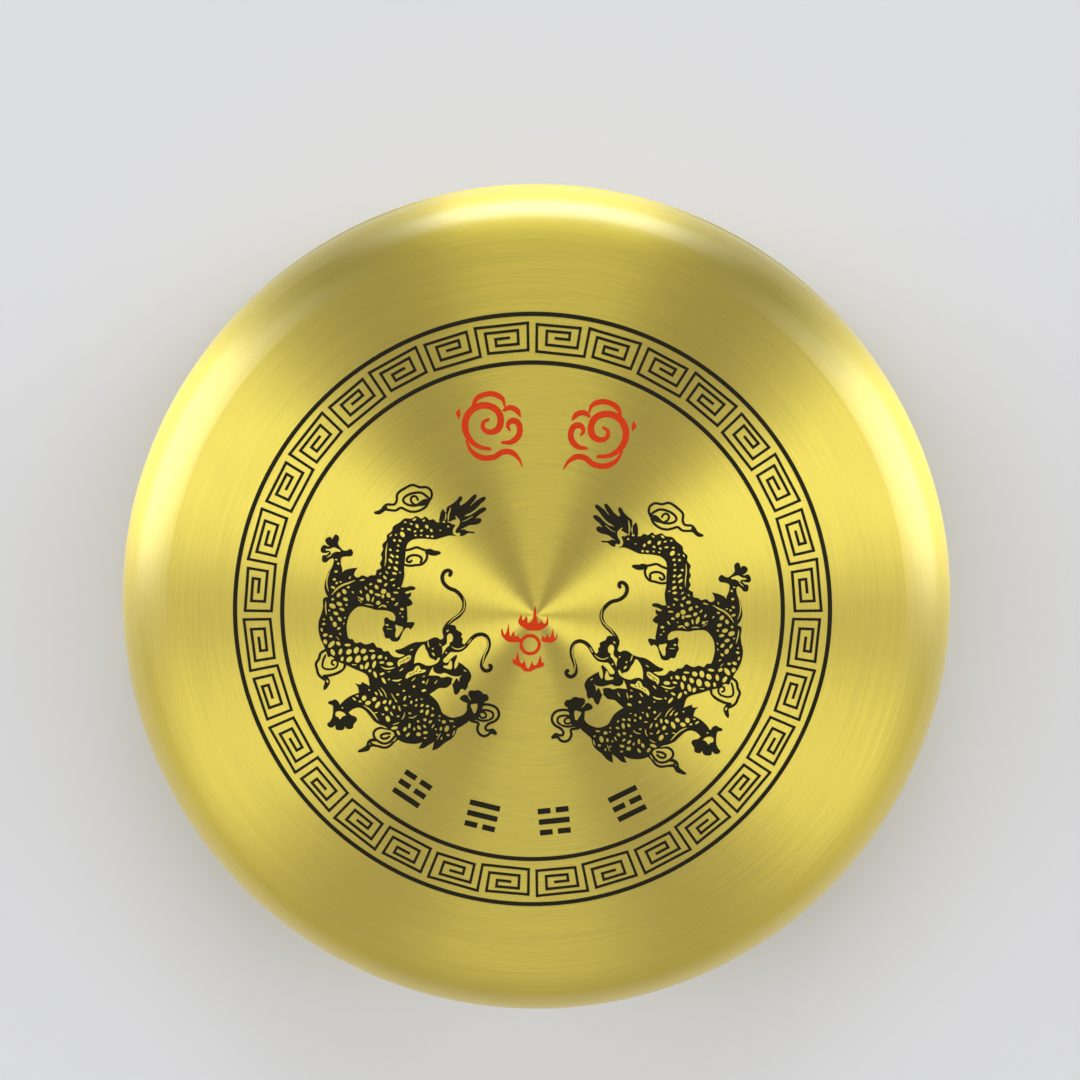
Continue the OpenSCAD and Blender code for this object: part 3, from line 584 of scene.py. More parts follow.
    # whiskers
    p.line(0.46, (-10.0, 4.0), (-9.9, 4.35), (-10.2, 4.55), (-10.65, 4.35), (-10.88, 3.75), (-10.68, 3.05),
           (-10.05, 2.5), (-9.2, 2.2), (-8.6, 1.7), (-8.15, 0.95), (-8.15, 0.1), (-8.6, -0.65),
           (-9.2, -1.15), (-9.85, -1.75), (-10.2, -2.35))
    p.cut(0.13, (-8.2, 1.5), (-8.1, 0.9), (-8.12, 0.1), (-8.65, -0.6), (-9.3, -1.15), (-9.85, -1.8))
    p.line(0.46, (-9.6, -4.75), (-8.9, -4.85), (-8.2, -4.75), (-7.7, -4.35), (-7.3, -3.8), (-6.8, -3.15),
           (-6.25, -2.8), (-5.6, -2.75), (-5.1, -3.1), (-4.87, -3.8), (-5.0, -4.6), (-5.3, -5.3),
           (-5.55, -6.1), (-5.5, -6.7), (-5.05, -7.05), (-4.55, -6.85), (-4.45, -6.5), (-4.6, -6.35))
    p.cut(0.12, (-9.3, -4.42), (-8.8, -4.66), (-8.2, -4.62), (-7.65, -4.25))
    p.cut(0.1, (-7.4, -3.95), (-7.0, -3.4))
    p.cut(0.13, (-5.35, -3.05), (-5.05, -3.5), (-5.0, -4.2), (-5.3, -5.1), (-5.45, -5.9), (-5.3, -6.6),
          (-4.85, -6.72))
    # foreleg in the opening
    p.ink((-16.05, -1.5), (-14.75, -1.5), (-14.74, -1.86), (-13.88, -1.84), (-13.8, -2.1),
          (-14.2, -2.76, 1), (-14.55, -2.55), (-14.95, -2.85), (-15.3, -3.7), (-15.62, -4.25),
          (-16.35, -4.26), (-16.6, -4.0), (-17.1, -3.95), (-17.32, -3.35), (-17.52, -2.8), (-17.32, -2.4),
          (-17.38, -1.75), (-17.12, -1.48), (-16.75, -1.72), (-16.1, -1.85))
    p.gap((-16.02, -2.35), (-15.6, -2.42), (-15.12, -2.58), (-15.4, -3.3), (-15.82, -3.82), (-15.98, -3.4),
          (-15.9, -2.9))
    p.fleck(-17.0, -2.4, 0.3, 0.2, -10)
    p.fleck(-16.7, -2.85, 0.6, 0.08, 0)
    # right foot, palm and toes
    p.ink((-6.95, -11.15), (-7.45, -10.92), (-7.85, -10.65), (-7.82, -10.35), (-7.35, -10.05),
          (-6.98, -10.1), (-6.9, -9.65), (-6.55, -9.48), (-6.2, -9.5), (-5.8, -9.4), (-5.4, -9.55),
          (-5.15, -9.8), (-4.75, -9.85), (-4.48, -10.25), (-4.6, -10.6), (-4.9, -10.75), (-5.0, -11.1),
          (-5.6, -12.4), (-6.7, -12.6))
    p.gap((-6.55, -11.25), (-6.2, -11.12), (-5.8, -11.08), (-5.82, -11.8), (-6.05, -12.22), (-6.35, -11.8))
    p.cut(0.12, (-6.95, -10.05), (-6.8, -10.4), (-6.58, -10.65))
    # left hind foot's palm
    p.gap((-22.42, -13.25), (-21.95, -13.08), (-21.4, -13.28), (-21.22, -13.52, 1), (-21.6, -13.68),
          (-21.95, -14.05), (-22.1, -13.82), (-22.42, -13.7))
    # cloud over the tail
    p.line(0.5, (-19.15, 10.72), (-18.7, 10.8), (-18.25, 11.15), (-18.0, 11.4), tips=(0.7, 0.9))
    p.line(0.3, (-18.3, 11.35), (-17.9, 11.75), (-17.0, 11.85), (-16.75, 12.3), (-16.7, 13.1),
           (-15.9, 13.8), (-15.0, 14.25), (-14.2, 14.05), (-13.3, 14.08), (-12.78, 13.65), (-12.72, 13.05),
           (-13.0, 12.5), (-13.35, 11.8), (-14.2, 11.25), (-15.0, 11.13), (-15.65, 11.3), (-16.2, 11.5),
           (-16.8, 11.15), (-17.6, 11.15), (-18.3, 11.2))
    p.line(0.3, (-12.95, 12.75), (-13.45, 13.15), (-14.0, 13.42), (-14.9, 13.3), (-15.7, 12.9),
           (-16.0, 12.4), (-15.65, 12.0), (-14.9, 11.85), (-14.1, 12.0), (-13.7, 12.3))
    p.line(0.28, (-13.6, 12.3), (-14.0, 12.2), (-14.5, 11.95), (-15.0, 12.25), (-15.1, 12.7),
           (-14.75, 12.98), (-14.4, 12.8), (-14.3, 12.55))
    p.ink((-14.35, 12.0), (-13.9, 12.5), (-13.4, 12.75), (-13.0, 12.6), (-13.25, 12.1), (-13.9, 11.85))
    # cloud in the tail's bend
    p.line(0.3, (-15.4, 6.55), (-14.8, 6.72), (-14.1, 7.0), (-13.6, 6.88), (-13.0, 6.72), (-12.6, 6.8))
    p.ink((-12.9, 6.65), (-12.5, 6.95), (-12.05, 6.8), (-11.45, 6.75), (-11.2, 6.55), (-11.5, 6.3),
          (-11.95, 6.15), (-12.5, 6.2), (-12.85, 6.4))
    p.line(0.3, (-12.95, 6.55), (-12.8, 6.1), (-12.95, 5.5), (-13.4, 5.05), (-14.1, 4.9), (-14.8, 4.78),
           (-15.4, 4.85))
    p.line(0.3, (-13.5, 5.25), (-13.45, 5.75), (-13.95, 6.05), (-14.7, 5.98), (-15.1, 5.65), (-15.1, 5.3),
           (-14.8, 5.2), (-14.6, 5.4))
    p.cut(0.1, (-13.15, 5.5), (-12.98, 6.2))
    # cloud at the left
    p.line(0.32, (-24.0, -5.85), (-24.6, -6.3), (-24.8, -7.0), (-25.1, -7.6), (-24.95, -8.2), (-24.7, -8.9),
           (-24.1, -9.35), (-23.6, -9.55))
    p.ink((-24.1, -8.85), (-23.6, -9.1), (-23.35, -9.5), (-23.4, -10.0), (-23.95, -10.7), (-24.08, -10.4),
          (-23.98, -9.9), (-23.95, -9.45), (-24.15, -9.1))
    p.fleck(-23.65, -9.6, 0.35, 0.18, -70)
    p.line(0.34, (-24.1, -9.0), (-23.5, -8.9), (-22.9, -8.7), (-22.3, -8.4), (-21.8, -7.9), (-21.65, -7.4))
    p.gap((-23.95, -6.75), (-23.3, -6.62), (-22.7, -7.1), (-22.35, -7.4), (-21.95, -7.5), (-21.9, -7.85),
          (-22.4, -8.25), (-23.1, -8.5), (-23.9, -8.45), (-24.4, -8.3), (-24.35, -7.4), (-24.2, -6.6),
          (-24.05, -6.3))
    p.line(0.26, (-24.05, -6.5), (-24.28, -7.2), (-24.3, -7.9), (-23.9, -8.15), (-23.2, -8.1),
           (-22.7, -7.85), (-22.55, -7.3), (-22.8, -7.0), (-23.15, -7.05), (-23.25, -7.45), (-23.0, -7.6))
    p.cut(0.22, (-24.15, -6.35), (-24.5, -7.0), (-24.75, -7.7), (-24.55, -8.4), (-24.3, -8.95),
          tips=(0.5, 0.7))
    # cloud under the belly
    p.gap((-17.7, -14.75), (-16.4, -14.9), (-15.5, -15.2), (-15.4, -15.9), (-16.0, -16.5), (-17.3, -16.5),
          (-17.85, -15.8), (-17.95, -15.2))
    p.line(0.3, (-16.2, -14.8), (-17.1, -14.75), (-17.75, -15.2), (-17.75, -15.85), (-17.2, -16.4),
           (-16.4, -16.6), (-15.8, -16.3), (-15.3, -15.7))
    p.line(0.32, (-17.9, -16.2), (-18.35, -16.5), (-18.5, -17.05), (-18.9, -17.4), (-19.4, -17.7),
           tips=(1.0, 0.8))
    p.line(0.3, (-17.6, -16.3), (-18.1, -16.4), (-17.9, -16.85), (-17.3, -16.95), (-16.5, -17.1),
           (-15.9, -16.9), (-15.4, -16.35), (-15.0, -15.95))
    p.line(0.34, (-19.4, -17.72), (-18.9, -17.62), (-18.4, -17.45), (-18.15, -17.0), (-17.7, -16.85))
    p.line(0.3, (-15.9, -15.35), (-16.5, -15.4), (-16.95, -15.7), (-16.75, -16.0), (-16.25, -15.95),
           (-15.95, -15.72))
    # cloud at the right foot
    p.line(0.32, (-5.5, -11.3), (-4.9, -11.08), (-4.2, -11.1), (-3.55, -11.35), (-3.18, -11.9),
           (-3.2, -12.5), (-3.6, -13.0), (-4.2, -13.3), (-4.6, -13.7), (-4.55, -14.1), (-4.1, -14.15),
           (-3.75, -14.05), (-3.35, -14.45))
    p.line(0.32, (-6.4, -13.15), (-5.9, -13.25), (-5.5, -13.4), (-5.6, -14.0), (-5.35, -14.6),
           (-4.85, -14.88), (-4.35, -14.75), (-3.95, -14.4), (-3.4, -14.5))
    p.line(0.28, (-5.6, -11.9), (-5.0, -11.75), (-4.3, -11.8), (-3.88, -12.05), (-3.85, -12.55),
           (-4.2, -12.85))
    p.line(0.26, (-5.5, -12.1), (-5.0, -12.0), (-4.68, -12.25), (-4.72, -12.6), (-5.15, -12.7),
           (-5.4, -12.5))
    p.line(0.28, (-5.6, -12.95), (-5.0, -13.05), (-4.4, -12.95))
    # bare lines along the body
    p.cut(0.13, (-17.55, 7.25), (-17.65, 6.3), (-17.62, 5.4), (-17.68, 4.55))
    p.cut(0.14, (-24.05, 3.6), (-24.32, 2.7), (-24.35, 1.9), (-24.1, 1.1))
    p.cut(0.15, (-24.35, -0.1), (-24.33, -0.9), (-24.18, -1.7))
    p.cut(0.2, (-23.7, 0.75), (-23.1, 1.5), (-22.4, 2.0), (-21.8, 2.25), (-21.1, 2.6))
    p.cut(0.16, (-20.5, 2.65), (-19.95, 2.78))
    p.cut(0.16, (-17.4, -7.4), (-16.9, -7.6), (-16.3, -7.55), (-15.8, -7.4))
    p.cut(0.2, (-16.0, -8.95), (-15.4, -8.95), (-14.9, -8.75))
    p.cut(0.12, (-19.7, -0.15), (-19.2, -0.15), (-18.8, -0.25))
    p.cut(0.16, (-18.1, -0.4), (-17.6, -0.1), (-17.2, -0.35))
    p.cut(0.1, (-20.7, 0.7), (-20.2, 0.5))
    p.cut(0.1, (-20.6, 0.4), (-20.1, 0.0))
    p.cut(0.16, (-19.2, -12.2), (-18.5, -12.6), (-17.9, -13.2), (-17.4, -13.85))
    p.cut(0.12, (-18.0, -13.05), (-17.5, -12.9))
    p.cut(0.12, (-17.3, -9.9), (-16.85, -10.4), (-16.5, -11.1))
    p.cut(0.1, (-17.6, -10.15), (-17.3, -10.5), (-17.05, -10.85))
    p.cut(0.1, (-16.05, -10.5), (-15.7, -11.0), (-15.35, -11.4))
    p.cut(0.12, (-14.3, -12.7), (-14.35, -13.1), (-14.6, -13.55))
    p.cut(0.12, (-12.85, -12.95), (-13.3, -13.25), (-13.8, -13.3))
    p.cut(0.12, (-15.6, -14.25), (-15.2, -14.1), (-14.9, -13.95))
    p.cut(0.16, (-17.3, -14.5), (-16.8, -14.55), (-16.3, -14.72))
    p.cut(0.16, (-8.25, -14.45), (-8.35, -14.8), (-8.5, -15.05))
    p.cut(0.1, (-10.3, -15.7), (-10.05, -15.2), (-9.9, -14.9))
    p.cut(0.14, (-13.7, -8.85), (-13.45, -8.6), (-13.3, -8.45))
    p.cut(0.12, (-12.0, -9.2), (-11.85, -8.8), (-11.75, -8.5))
    p.cut(0.12, (-11.0, -9.0), (-10.8, -8.75), (-10.7, -8.55))
    p.cut(0.1, (-15.45, -16.3), (-15.2, -15.95), (-15.1, -15.75))
    # scales
    scales = (
        # tail
        (-14.55, 10.25, 0.4, 0.22, 30), (-13.45, 10.2, 0.3, 0.18, 30), (-15.6, 9.85, 0.24, 0.18, 0),
        (-14.9, 9.7, 0.3, 0.18, -20), (-14.2, 9.5, 0.45, 0.3, -60), (-13.05, 9.5, 0.42, 0.32, -50),
        (-12.5, 9.1, 0.36, 0.25, -60), (-13.65, 9.0, 0.34, 0.22, 20), (-14.4, 8.85, 0.3, 0.2, 30),
        (-15.1, 9.05, 0.42, 0.2, -15), (-15.9, 9.05, 0.28, 0.2, 0), (-15.85, 8.4, 0.6, 0.42, -50),
        (-16.6, 8.3, 0.22, 0.18, 0), (-17.2, 8.2, 0.32, 0.14, 50), (-12.9, 8.4, 0.34, 0.22, 0),
        (-12.35, 8.4, 0.28, 0.22, 0), (-13.65, 8.45, 0.22, 0.16, 0), (-14.3, 8.4, 0.24, 0.16, 0),
        (-11.1, 10.2, 0.28, 0.22, 0), (-10.55, 9.7, 0.24, 0.2, 0), (-11.45, 9.2, 0.18, 0.14, 0),
        (-10.1, 10.05, 0.18, 0.14, 0), (-16.75, 7.65, 0.28, 0.26, 0), (-16.1, 7.65, 0.32, 0.24, -30),
        (-16.25, 7.05, 0.24, 0.22, 0), (-17.15, 6.5, 0.3, 0.24, 0), (-16.3, 6.45, 0.3, 0.2, -10),
        (-16.9, 5.8, 0.5, 0.24, -35), (-16.3, 5.75, 0.32, 0.24, -30), (-17.05, 5.2, 0.55, 0.28, -45),
        (-16.3, 5.05, 0.34, 0.26, -20), (-17.15, 4.4, 0.3, 0.24, 20), (-16.4, 4.35, 0.52, 0.3, -35),
        (-16.55, 3.75, 0.4, 0.24, -15), (-17.4, 3.8, 0.36, 0.16, -40), (-15.85, 3.9, 0.2, 0.14, 0),
        (-18.15, 3.6, 0.3, 0.13, 50), (-16.55, 3.8, 0.3, 0.2, 0),
        # hips
        (-17.6, 3.2, 0.46, 0.24, -45), (-16.7, 3.0, 0.5, 0.22, 20), (-18.2, 2.75, 0.5, 0.34, -10),
        (-17.45, 2.35, 0.4, 0.26, 45), (-16.5, 2.35, 0.26, 0.2, 30), (-16.4, 3.75, 0.3, 0.2, -20),
        (-16.2, 1.5, 0.55, 0.2, 0), (-15.9, 2.05, 0.3, 0.14, 10), (-18.5, 2.0, 0.5, 0.36, -50),
        (-19.2, 2.3, 0.32, 0.22, 20), (-19.75, 1.8, 0.42, 0.18, -50), (-19.1, 1.4, 0.46, 0.36, -40),
        (-17.65, 1.55, 0.55, 0.5, 30), (-17.05, 1.15, 0.55, 0.4, -60), (-18.3, 1.1, 0.65, 0.26, -10),
        (-17.7, 0.95, 0.3, 0.4, 0), (-16.5, 0.7, 0.38, 0.26, 0), (-16.05, 0.15, 0.46, 0.22, 45),
        (-15.35, -0.4, 0.4, 0.28, 0), (-15.25, -1.3, 0.2, 0.16, 0), (-15.55, -0.9, 0.18, 0.16, 0),
        (-20.3, 1.3, 0.38, 0.2, -60), (-20.15, 0.45, 0.36, 0.32, 0), (-19.45, 0.7, 0.8, 0.36, -75),
        (-18.85, 0.5, 0.55, 0.2, 75), (-18.2, 0.15, 0.48, 0.42, 30), (-17.4, -0.2, 0.36, 0.2, 10),
        (-14.95, 1.65, 0.36, 0.12, 25), (-17.1, 0.3, 0.2, 0.14, 0),
        # left side of the loop
        (-23.35, 3.5, 0.34, 0.24, 0), (-23.15, 4.45, 0.24, 0.24, 0), (-23.4, 4.9, 0.26, 0.16, 0),
        (-23.5, 2.55, 0.34, 0.24, 20), (-23.2, 2.15, 0.28, 0.24, 60), (-22.75, 2.3, 0.26, 0.16, 0),
        (-23.6, 1.6, 0.46, 0.26, -20), (-21.7, 2.9, 0.3, 0.16, 60), (-21.8, 1.75, 0.34, 0.22, 10),
        (-22.25, 1.2, 0.55, 0.4, -50), (-22.9, 0.75, 0.5, 0.36, 60), (-21.25, 1.2, 0.28, 0.16, -40),
        (-22.05, 0.3, 0.5, 0.34, -20), (-23.55, 0.2, 0.3, 0.26, 40), (-22.75, -0.3, 0.62, 0.4, -20),
        (-23.55, -0.6, 0.7, 0.48, -25), (-22.4, -0.92, 0.55, 0.3, -15), (-23.1, -1.45, 0.55, 0.36, -20),
        (-21.9, -0.35, 0.26, 0.2, 0), (-23.6, -2.1, 0.5, 0.26, -65), (-22.6, -2.1, 0.5, 0.34, -45),
        (-23.15, -2.75, 0.56, 0.42, -70), (-22.65, -3.2, 0.4, 0.24, 30), (-24.45, -2.8, 0.38, 0.24, 10),
        (-24.45, -2.25, 0.24, 0.18, 0), (-24.65, -3.5, 0.4, 0.22, -75), (-22.0, -1.9, 0.2, 0.16, 60),
        (-24.2, -4.1, 0.5, 0.32, 20), (-23.55, -4.2, 0.36, 0.26, 0), (-24.15, -4.9, 0.5, 0.4, -75),
        (-22.45, -3.85, 0.3, 0.14, -40), (-22.1, -2.6, 0.24, 0.12, 70), (-23.9, -1.15, 0.2, 0.18, 0),
        (-22.7, -4.4, 0.5, 0.08, -45),
        # lower body: rows of large scales
        (-23.4, -5.15, 0.9, 0.42, 50), (-22.6, -5.0, 0.5, 0.36, -40), (-21.5, -5.1, 0.66, 0.28, 5),
        (-23.2, -6.1, 0.7, 0.4, -60), (-22.3, -5.95, 0.66, 0.36, 75), (-21.3, -5.9, 0.66, 0.5, 45),
        (-20.45, -5.65, 0.72, 0.5, 70), (-19.6, -5.7, 0.6, 0.48, 30), (-18.6, -5.6, 0.6, 0.22, 0),
        (-22.05, -6.8, 0.48, 0.3, 75), (-21.2, -6.8, 0.7, 0.5, 45), (-20.2, -6.7, 0.8, 0.56, 70),
        (-19.3, -6.5, 0.62, 0.42, 55), (-18.4, -6.3, 0.6, 0.38, 65), (-17.6, -6.25, 0.5, 0.36, 30),
        (-20.6, -7.4, 0.5, 0.12, 0), (-19.7, -7.6, 0.5, 0.36, -75), (-19.1, -7.4, 0.8, 0.36, 70),
        (-18.25, -7.2, 0.8, 0.34, 75), (-17.35, -6.9, 0.5, 0.24, 10), (-16.4, -7.0, 0.68, 0.38, 0),
        (-16.9, -6.35, 0.2, 0.3, 0), (-18.7, -8.0, 0.36, 0.26, 40), (-18.05, -8.4, 0.7, 0.32, -65),
        (-17.25, -8.25, 0.52, 0.24, 25), (-17.0, -9.05, 0.75, 0.28, -55), (-16.4, -8.85, 0.26, 0.18, 60),
        (-16.45, -7.95, 0.3, 0.1, 10),
        # left hind leg
        (-20.35, -11.5, 0.46, 0.2, -40), (-19.2, -11.3, 0.55, 0.46, 70), (-18.7, -11.85, 0.6, 0.42, 20),
        (-19.65, -11.75, 0.32, 0.2, 0), (-20.0, -11.1, 0.28, 0.16, 0), (-17.8, -10.65, 0.42, 0.2, -50),
        (-17.2, -10.7, 0.45, 0.18, -55), (-18.0, -11.35, 0.5, 0.4, 40), (-17.55, -12.0, 0.8, 0.38, 60),
        (-16.75, -11.6, 0.5, 0.32, 45), (-16.1, -11.6, 0.5, 0.26, 80), (-16.5, -12.4, 0.5, 0.36, -60),
        (-15.6, -12.15, 0.4, 0.26, 90), (-16.25, -13.6, 0.66, 0.42, -65), (-16.85, -13.1, 0.28, 0.18, 0),
        (-15.85, -12.95, 0.5, 0.2, -55), (-14.95, -12.25, 0.62, 0.18, -70), (-15.05, -13.2, 0.28, 0.18, 0),
        (-21.7, -12.65, 0.2, 0.16, 0),
        # torso
        (-15.25, -10.6, 0.3, 0.26, 0), (-14.4, -11.0, 0.5, 0.22, 70), (-13.6, -11.4, 0.36, 0.22, 80),
        (-13.0, -11.1, 0.28, 0.2, 60), (-15.4, -11.4, 0.28, 0.18, -40), (-14.3, -11.85, 0.4, 0.14, 0),
        (-13.0, -11.75, 0.28, 0.22, 45), (-12.3, -11.7, 0.36, 0.26, 40), (-11.65, -11.75, 0.36, 0.24, 10),
        (-11.0, -12.0, 0.3, 0.18, -60), (-12.3, -12.4, 0.4, 0.28, 50), (-11.65, -12.5, 0.62, 0.32, 75),
        (-11.0, -12.8, 0.4, 0.24, 20), (-13.7, -12.75, 0.28, 0.2, 0), (-10.15, -12.85, 0.22, 0.2, 0),
        (-11.85, -13.4, 0.36, 0.3, 0), (-12.65, -13.65, 0.26, 0.24, 0), (-11.2, -13.6, 0.42, 0.28, 45),
        (-9.6, -13.5, 0.42, 0.36, 0), (-10.15, -13.35, 0.2, 0.16, 0), (-8.7, -13.35, 0.5, 0.2, 0),
        (-13.65, -14.25, 0.55, 0.26, 85), (-12.5, -14.4, 0.5, 0.3, -50), (-14.15, -14.7, 0.5, 0.32, 60),
        (-13.05, -14.6, 0.34, 0.2, -80), (-11.85, -14.2, 0.4, 0.24, -40), (-10.85, -14.1, 0.5, 0.16, 60),
        (-10.5, -14.45, 0.24, 0.18, 0), (-9.9, -14.35, 0.42, 0.26, 80), (-9.2, -14.3, 0.7, 0.42, 70),
        (-15.4, -14.65, 0.7, 0.32, 15), (-14.9, -15.2, 0.55, 0.28, -60), (-13.75, -15.35, 0.55, 0.26, 50),
        (-12.5, -15.2, 0.5, 0.4, 0), (-11.7, -14.95, 0.5, 0.3, 10), (-11.7, -15.6, 0.3, 0.2, 0),
        (-9.0, -15.05, 0.32, 0.26, 0), (-9.75, -15.5, 0.34, 0.16, 80), (-10.3, -15.1, 0.24, 0.18, 0),
        (-8.35, -13.98, 0.24, 0.18, 0), (-12.3, -8.9, 0.3, 0.26, 0), (-13.4, -9.5, 0.28, 0.26, 0),
        (-12.2, -9.9, 0.5, 0.26, 20), (-14.55, -10.1, 0.26, 0.2, 0), (-15.1, -9.35, 0.2, 0.12, 0),
        (-12.3, -8.2, 0.3, 0.1, 30), (-13.85, -10.75, 0.2, 0.16, 0), (-12.4, -10.95, 0.22, 0.12, 0),
        (-18.65, -10.3, 0.2, 0.16, 0))
    for scale in scales:
        p.fleck(*scale)


def outward(radius, azimuth, across=0.0):
    """A place by its azimuth in degrees clockwise from +Y; across is to the right as seen from the middle."""
    a = math.radians(azimuth)
    return (radius * math.sin(a) + across * math.cos(a), radius * math.cos(a) - across * math.sin(a))


def border(p):
    """Two rings and sixteen pairs of square spirals between them."""
    ring_width, ring_sides = 0.5, 288
    for radius in (35.0, 29.45):
        p.ring(0, 0, radius + ring_width / 2, radius - ring_width / 2, ring_sides)
    pairs, middle_r, stroke, stub = 16, 32.35, 0.33, 0.15
    unit, per_degree = 1 / 181.0, 42.0                # millimetres in a pattern unit, and units in a degree
    columns = (-435, -350, -270, -155, -75, 0)        # across a pair, in those units
    rows = (265, 135, -5, -150, -295)                 # up from its middle
    walk = ((2, 2), (3, 2), (3, 1), (1, 1), (1, 3), (4, 3), (4, 0), (0, 0), (0, 4), (5, 4))
    for k in range(pairs):
        middle = (k + 0.5) * 360 / pairs
        for sense in (1, -1):
            places = [outward(middle_r + sense * rows[r] * unit, middle + sense * columns[c] / per_degree)
                      for c, r in walk]
            places.append(outward(middle_r + sense * stub, middle))
            for (ax, ay), (bx, by) in zip(places, places[1:]):
                length = math.hypot(bx - ax, by - ay)
                ux, uy = (bx - ax) / length * stroke / 2, (by - ay) / length * stroke / 2
                p.block([(ax - ux - uy, ay - uy + ux), (ax - ux + uy, ay - uy - ux),
                         (bx + ux + uy, by + uy - ux), (bx + ux - uy, by + uy + ux)])


def pearl(p):
    """A ring in flames."""
    p.ring(-0.03, -3.55, 1.27, 0.88)
    p.ink((-1.62, -0.95), (-1.52, -0.5), (-1.3, 0.02, 1), (-1.2, -0.45), (-1.12, -0.72), (-0.95, -0.62),
          (-0.82, -0.4), (-0.66, -0.18, 1), (-0.55, -0.6), (-0.5, -0.98), (-0.3, -0.95), (-0.08, -0.78, 1),
          (0.05, -0.5), (0.1, 0.0), (0.12, 0.5), (0.32, 1.15, 1), (0.42, 0.5), (0.45, 0.0), (0.6, -0.5),
          (0.78, -0.95), (0.95, -0.85), (1.12, -0.5, 1), (1.28, -0.85), (1.55, -0.95), (1.7, -0.5),
          (1.76, 0.0, 1), (1.9, -0.6), (1.88, -1.1), (1.55, -1.4), (1.1, -1.72), (0.5, -1.85),
          (-0.4, -1.85), (-0.8, -1.68), (-1.3, -1.4))
    p.ink((-3.52, -1.8, 1), (-3.3, -2.2), (-3.15, -2.6), (-3.0, -2.45), (-2.85, -1.9), (-2.72, -1.12, 1),
          (-2.62, -1.9), (-2.5, -2.6), (-2.38, -2.72), (-2.25, -2.4), (-2.02, -2.08, 1), (-1.95, -2.5),
          (-1.78, -2.72), (-1.5, -2.42, 1), (-1.4, -2.8), (-1.15, -3.0), (-1.2, -3.3), (-2.0, -3.4),
          (-2.6, -3.42), (-3.1, -3.1), (-3.45, -2.7), (-3.55, -2.2))
    p.ink((3.08, -2.0, 1), (2.95, -2.35), (2.8, -2.6), (2.68, -2.2), (2.5, -1.42, 1), (2.38, -2.1),
          (2.22, -2.6), (2.05, -2.4), (1.88, -2.12, 1), (1.78, -2.45), (1.6, -2.65), (1.38, -2.38, 1),
          (1.25, -2.75), (1.3, -3.02), (1.8, -3.15), (2.4, -3.15), (2.85, -2.9), (3.08, -2.5))
    p.ink((-1.98, -5.3, 1), (-1.8, -5.5), (-1.65, -5.42), (-1.55, -4.9), (-1.45, -4.4, 1), (-1.32, -4.9),
          (-1.15, -5.5), (-0.95, -5.85), (-0.72, -5.75), (-0.55, -5.42, 1), (-0.42, -5.9), (-0.25, -6.3),
          (-0.05, -6.4), (0.12, -6.1), (0.3, -5.45, 1), (0.48, -5.85), (0.7, -6.0), (0.95, -5.75),
          (1.12, -5.2), (1.25, -4.7, 1), (1.4, -5.2), (1.48, -5.55), (1.62, -5.65), (1.78, -5.4, 1),
          (1.72, -6.0), (1.2, -6.25), (0.7, -6.45), (0.3, -6.72), (-0.1, -6.78), (-0.6, -6.72),
          (-0.9, -6.4), (-1.4, -6.15), (-1.9, -5.9))


def trigrams(p):
    """Four trigrams along the bottom; a one is a whole line, a nought a broken one."""
    marks = (((-12.85, -21.85), (1, 0, 0)), ((-4.3, -24.55), (0, 1, 1)),
             ((4.3, -24.55), (0, 1, 0)), ((12.85, -21.85), (1, 0, 1)))
    half, thick, pitch, half_split = 1.85, 0.66, 1.3, 0.31
    for (x, y), lines in marks:
        turn = math.atan2(y, x) + math.pi / 2
        c, s = math.cos(turn), math.sin(turn)
        for row, whole in enumerate(lines):
            low, high = (row - 1) * pitch - thick / 2, (row - 1) * pitch + thick / 2
            for a, b in ((-half, half),) if whole else ((-half, -half_split), (half_split, half)):
                p.block([(x + u * c - v * s, y + u * s + v * c)
                         for u, v in ((a, low), (b, low), (b, high), (a, high))])


def cloud(p, x, y, side):
    """A brushed cloud: a large scroll, a small one beside it and a long wavy tail."""
    def at(*points):
        return [(x + side * q[0], y + q[1]) + tuple(q[2:]) for q in points]
    p.line(0.78, *at((-0.2, 1.15), (-0.75, 0.75), (-0.7, 0.05), (0.05, -0.3), (0.95, 0.1), (1.25, 1.1),
                     (0.8, 2.2), (-0.5, 2.75), (-1.9, 2.35), (-2.75, 1.2), (-2.8, -0.15), (-2.2, -1.3),
                     (-1.1, -2.05), (0.2, -2.25)), tips=(0.45, 0.5))
    p.line(0.62, *at((-2.1, 2.5), (-1.75, 3.4), (-0.8, 4.0), (0.3, 4.1), (1.3, 3.6),
                     (1.6, 2.75)), tips=(0.5, 0.35))
    p.line(0.7, *at((2.35, 0.1), (2.1, 0.55), (2.35, 1.1), (3.05, 1.15), (3.5, 0.5), (3.4, -0.5),
                    (2.65, -1.25), (1.6, -1.4)), tips=(0.4, 0.5))
    p.line(0.62, *at((1.55, 2.35), (2.2, 2.7), (3.0, 2.45), (3.5, 1.75)), tips=(0.6, 0.3))
    p.line(0.66, *at((-2.6, -1.5), (-1.9, -2.65), (-0.7, -3.3), (0.7, -3.15), (1.7, -2.5), (2.7, -2.45),
                     (3.6, -3.1), (4.1, -4.0)), tips=(0.35, 0.2))
    p.ink(*at((-3.6, 0.9, 1), (-3.45, 1.5), (-3.6, 2.2, 1), (-4.0, 1.6)))


def area(shape):
    """Twice the area of a shape, below nought where its corners run clockwise."""
    return sum(ax * by - bx * ay for (ax, ay), (bx, by) in zip(shape, shape[1:] + shape[:1]))


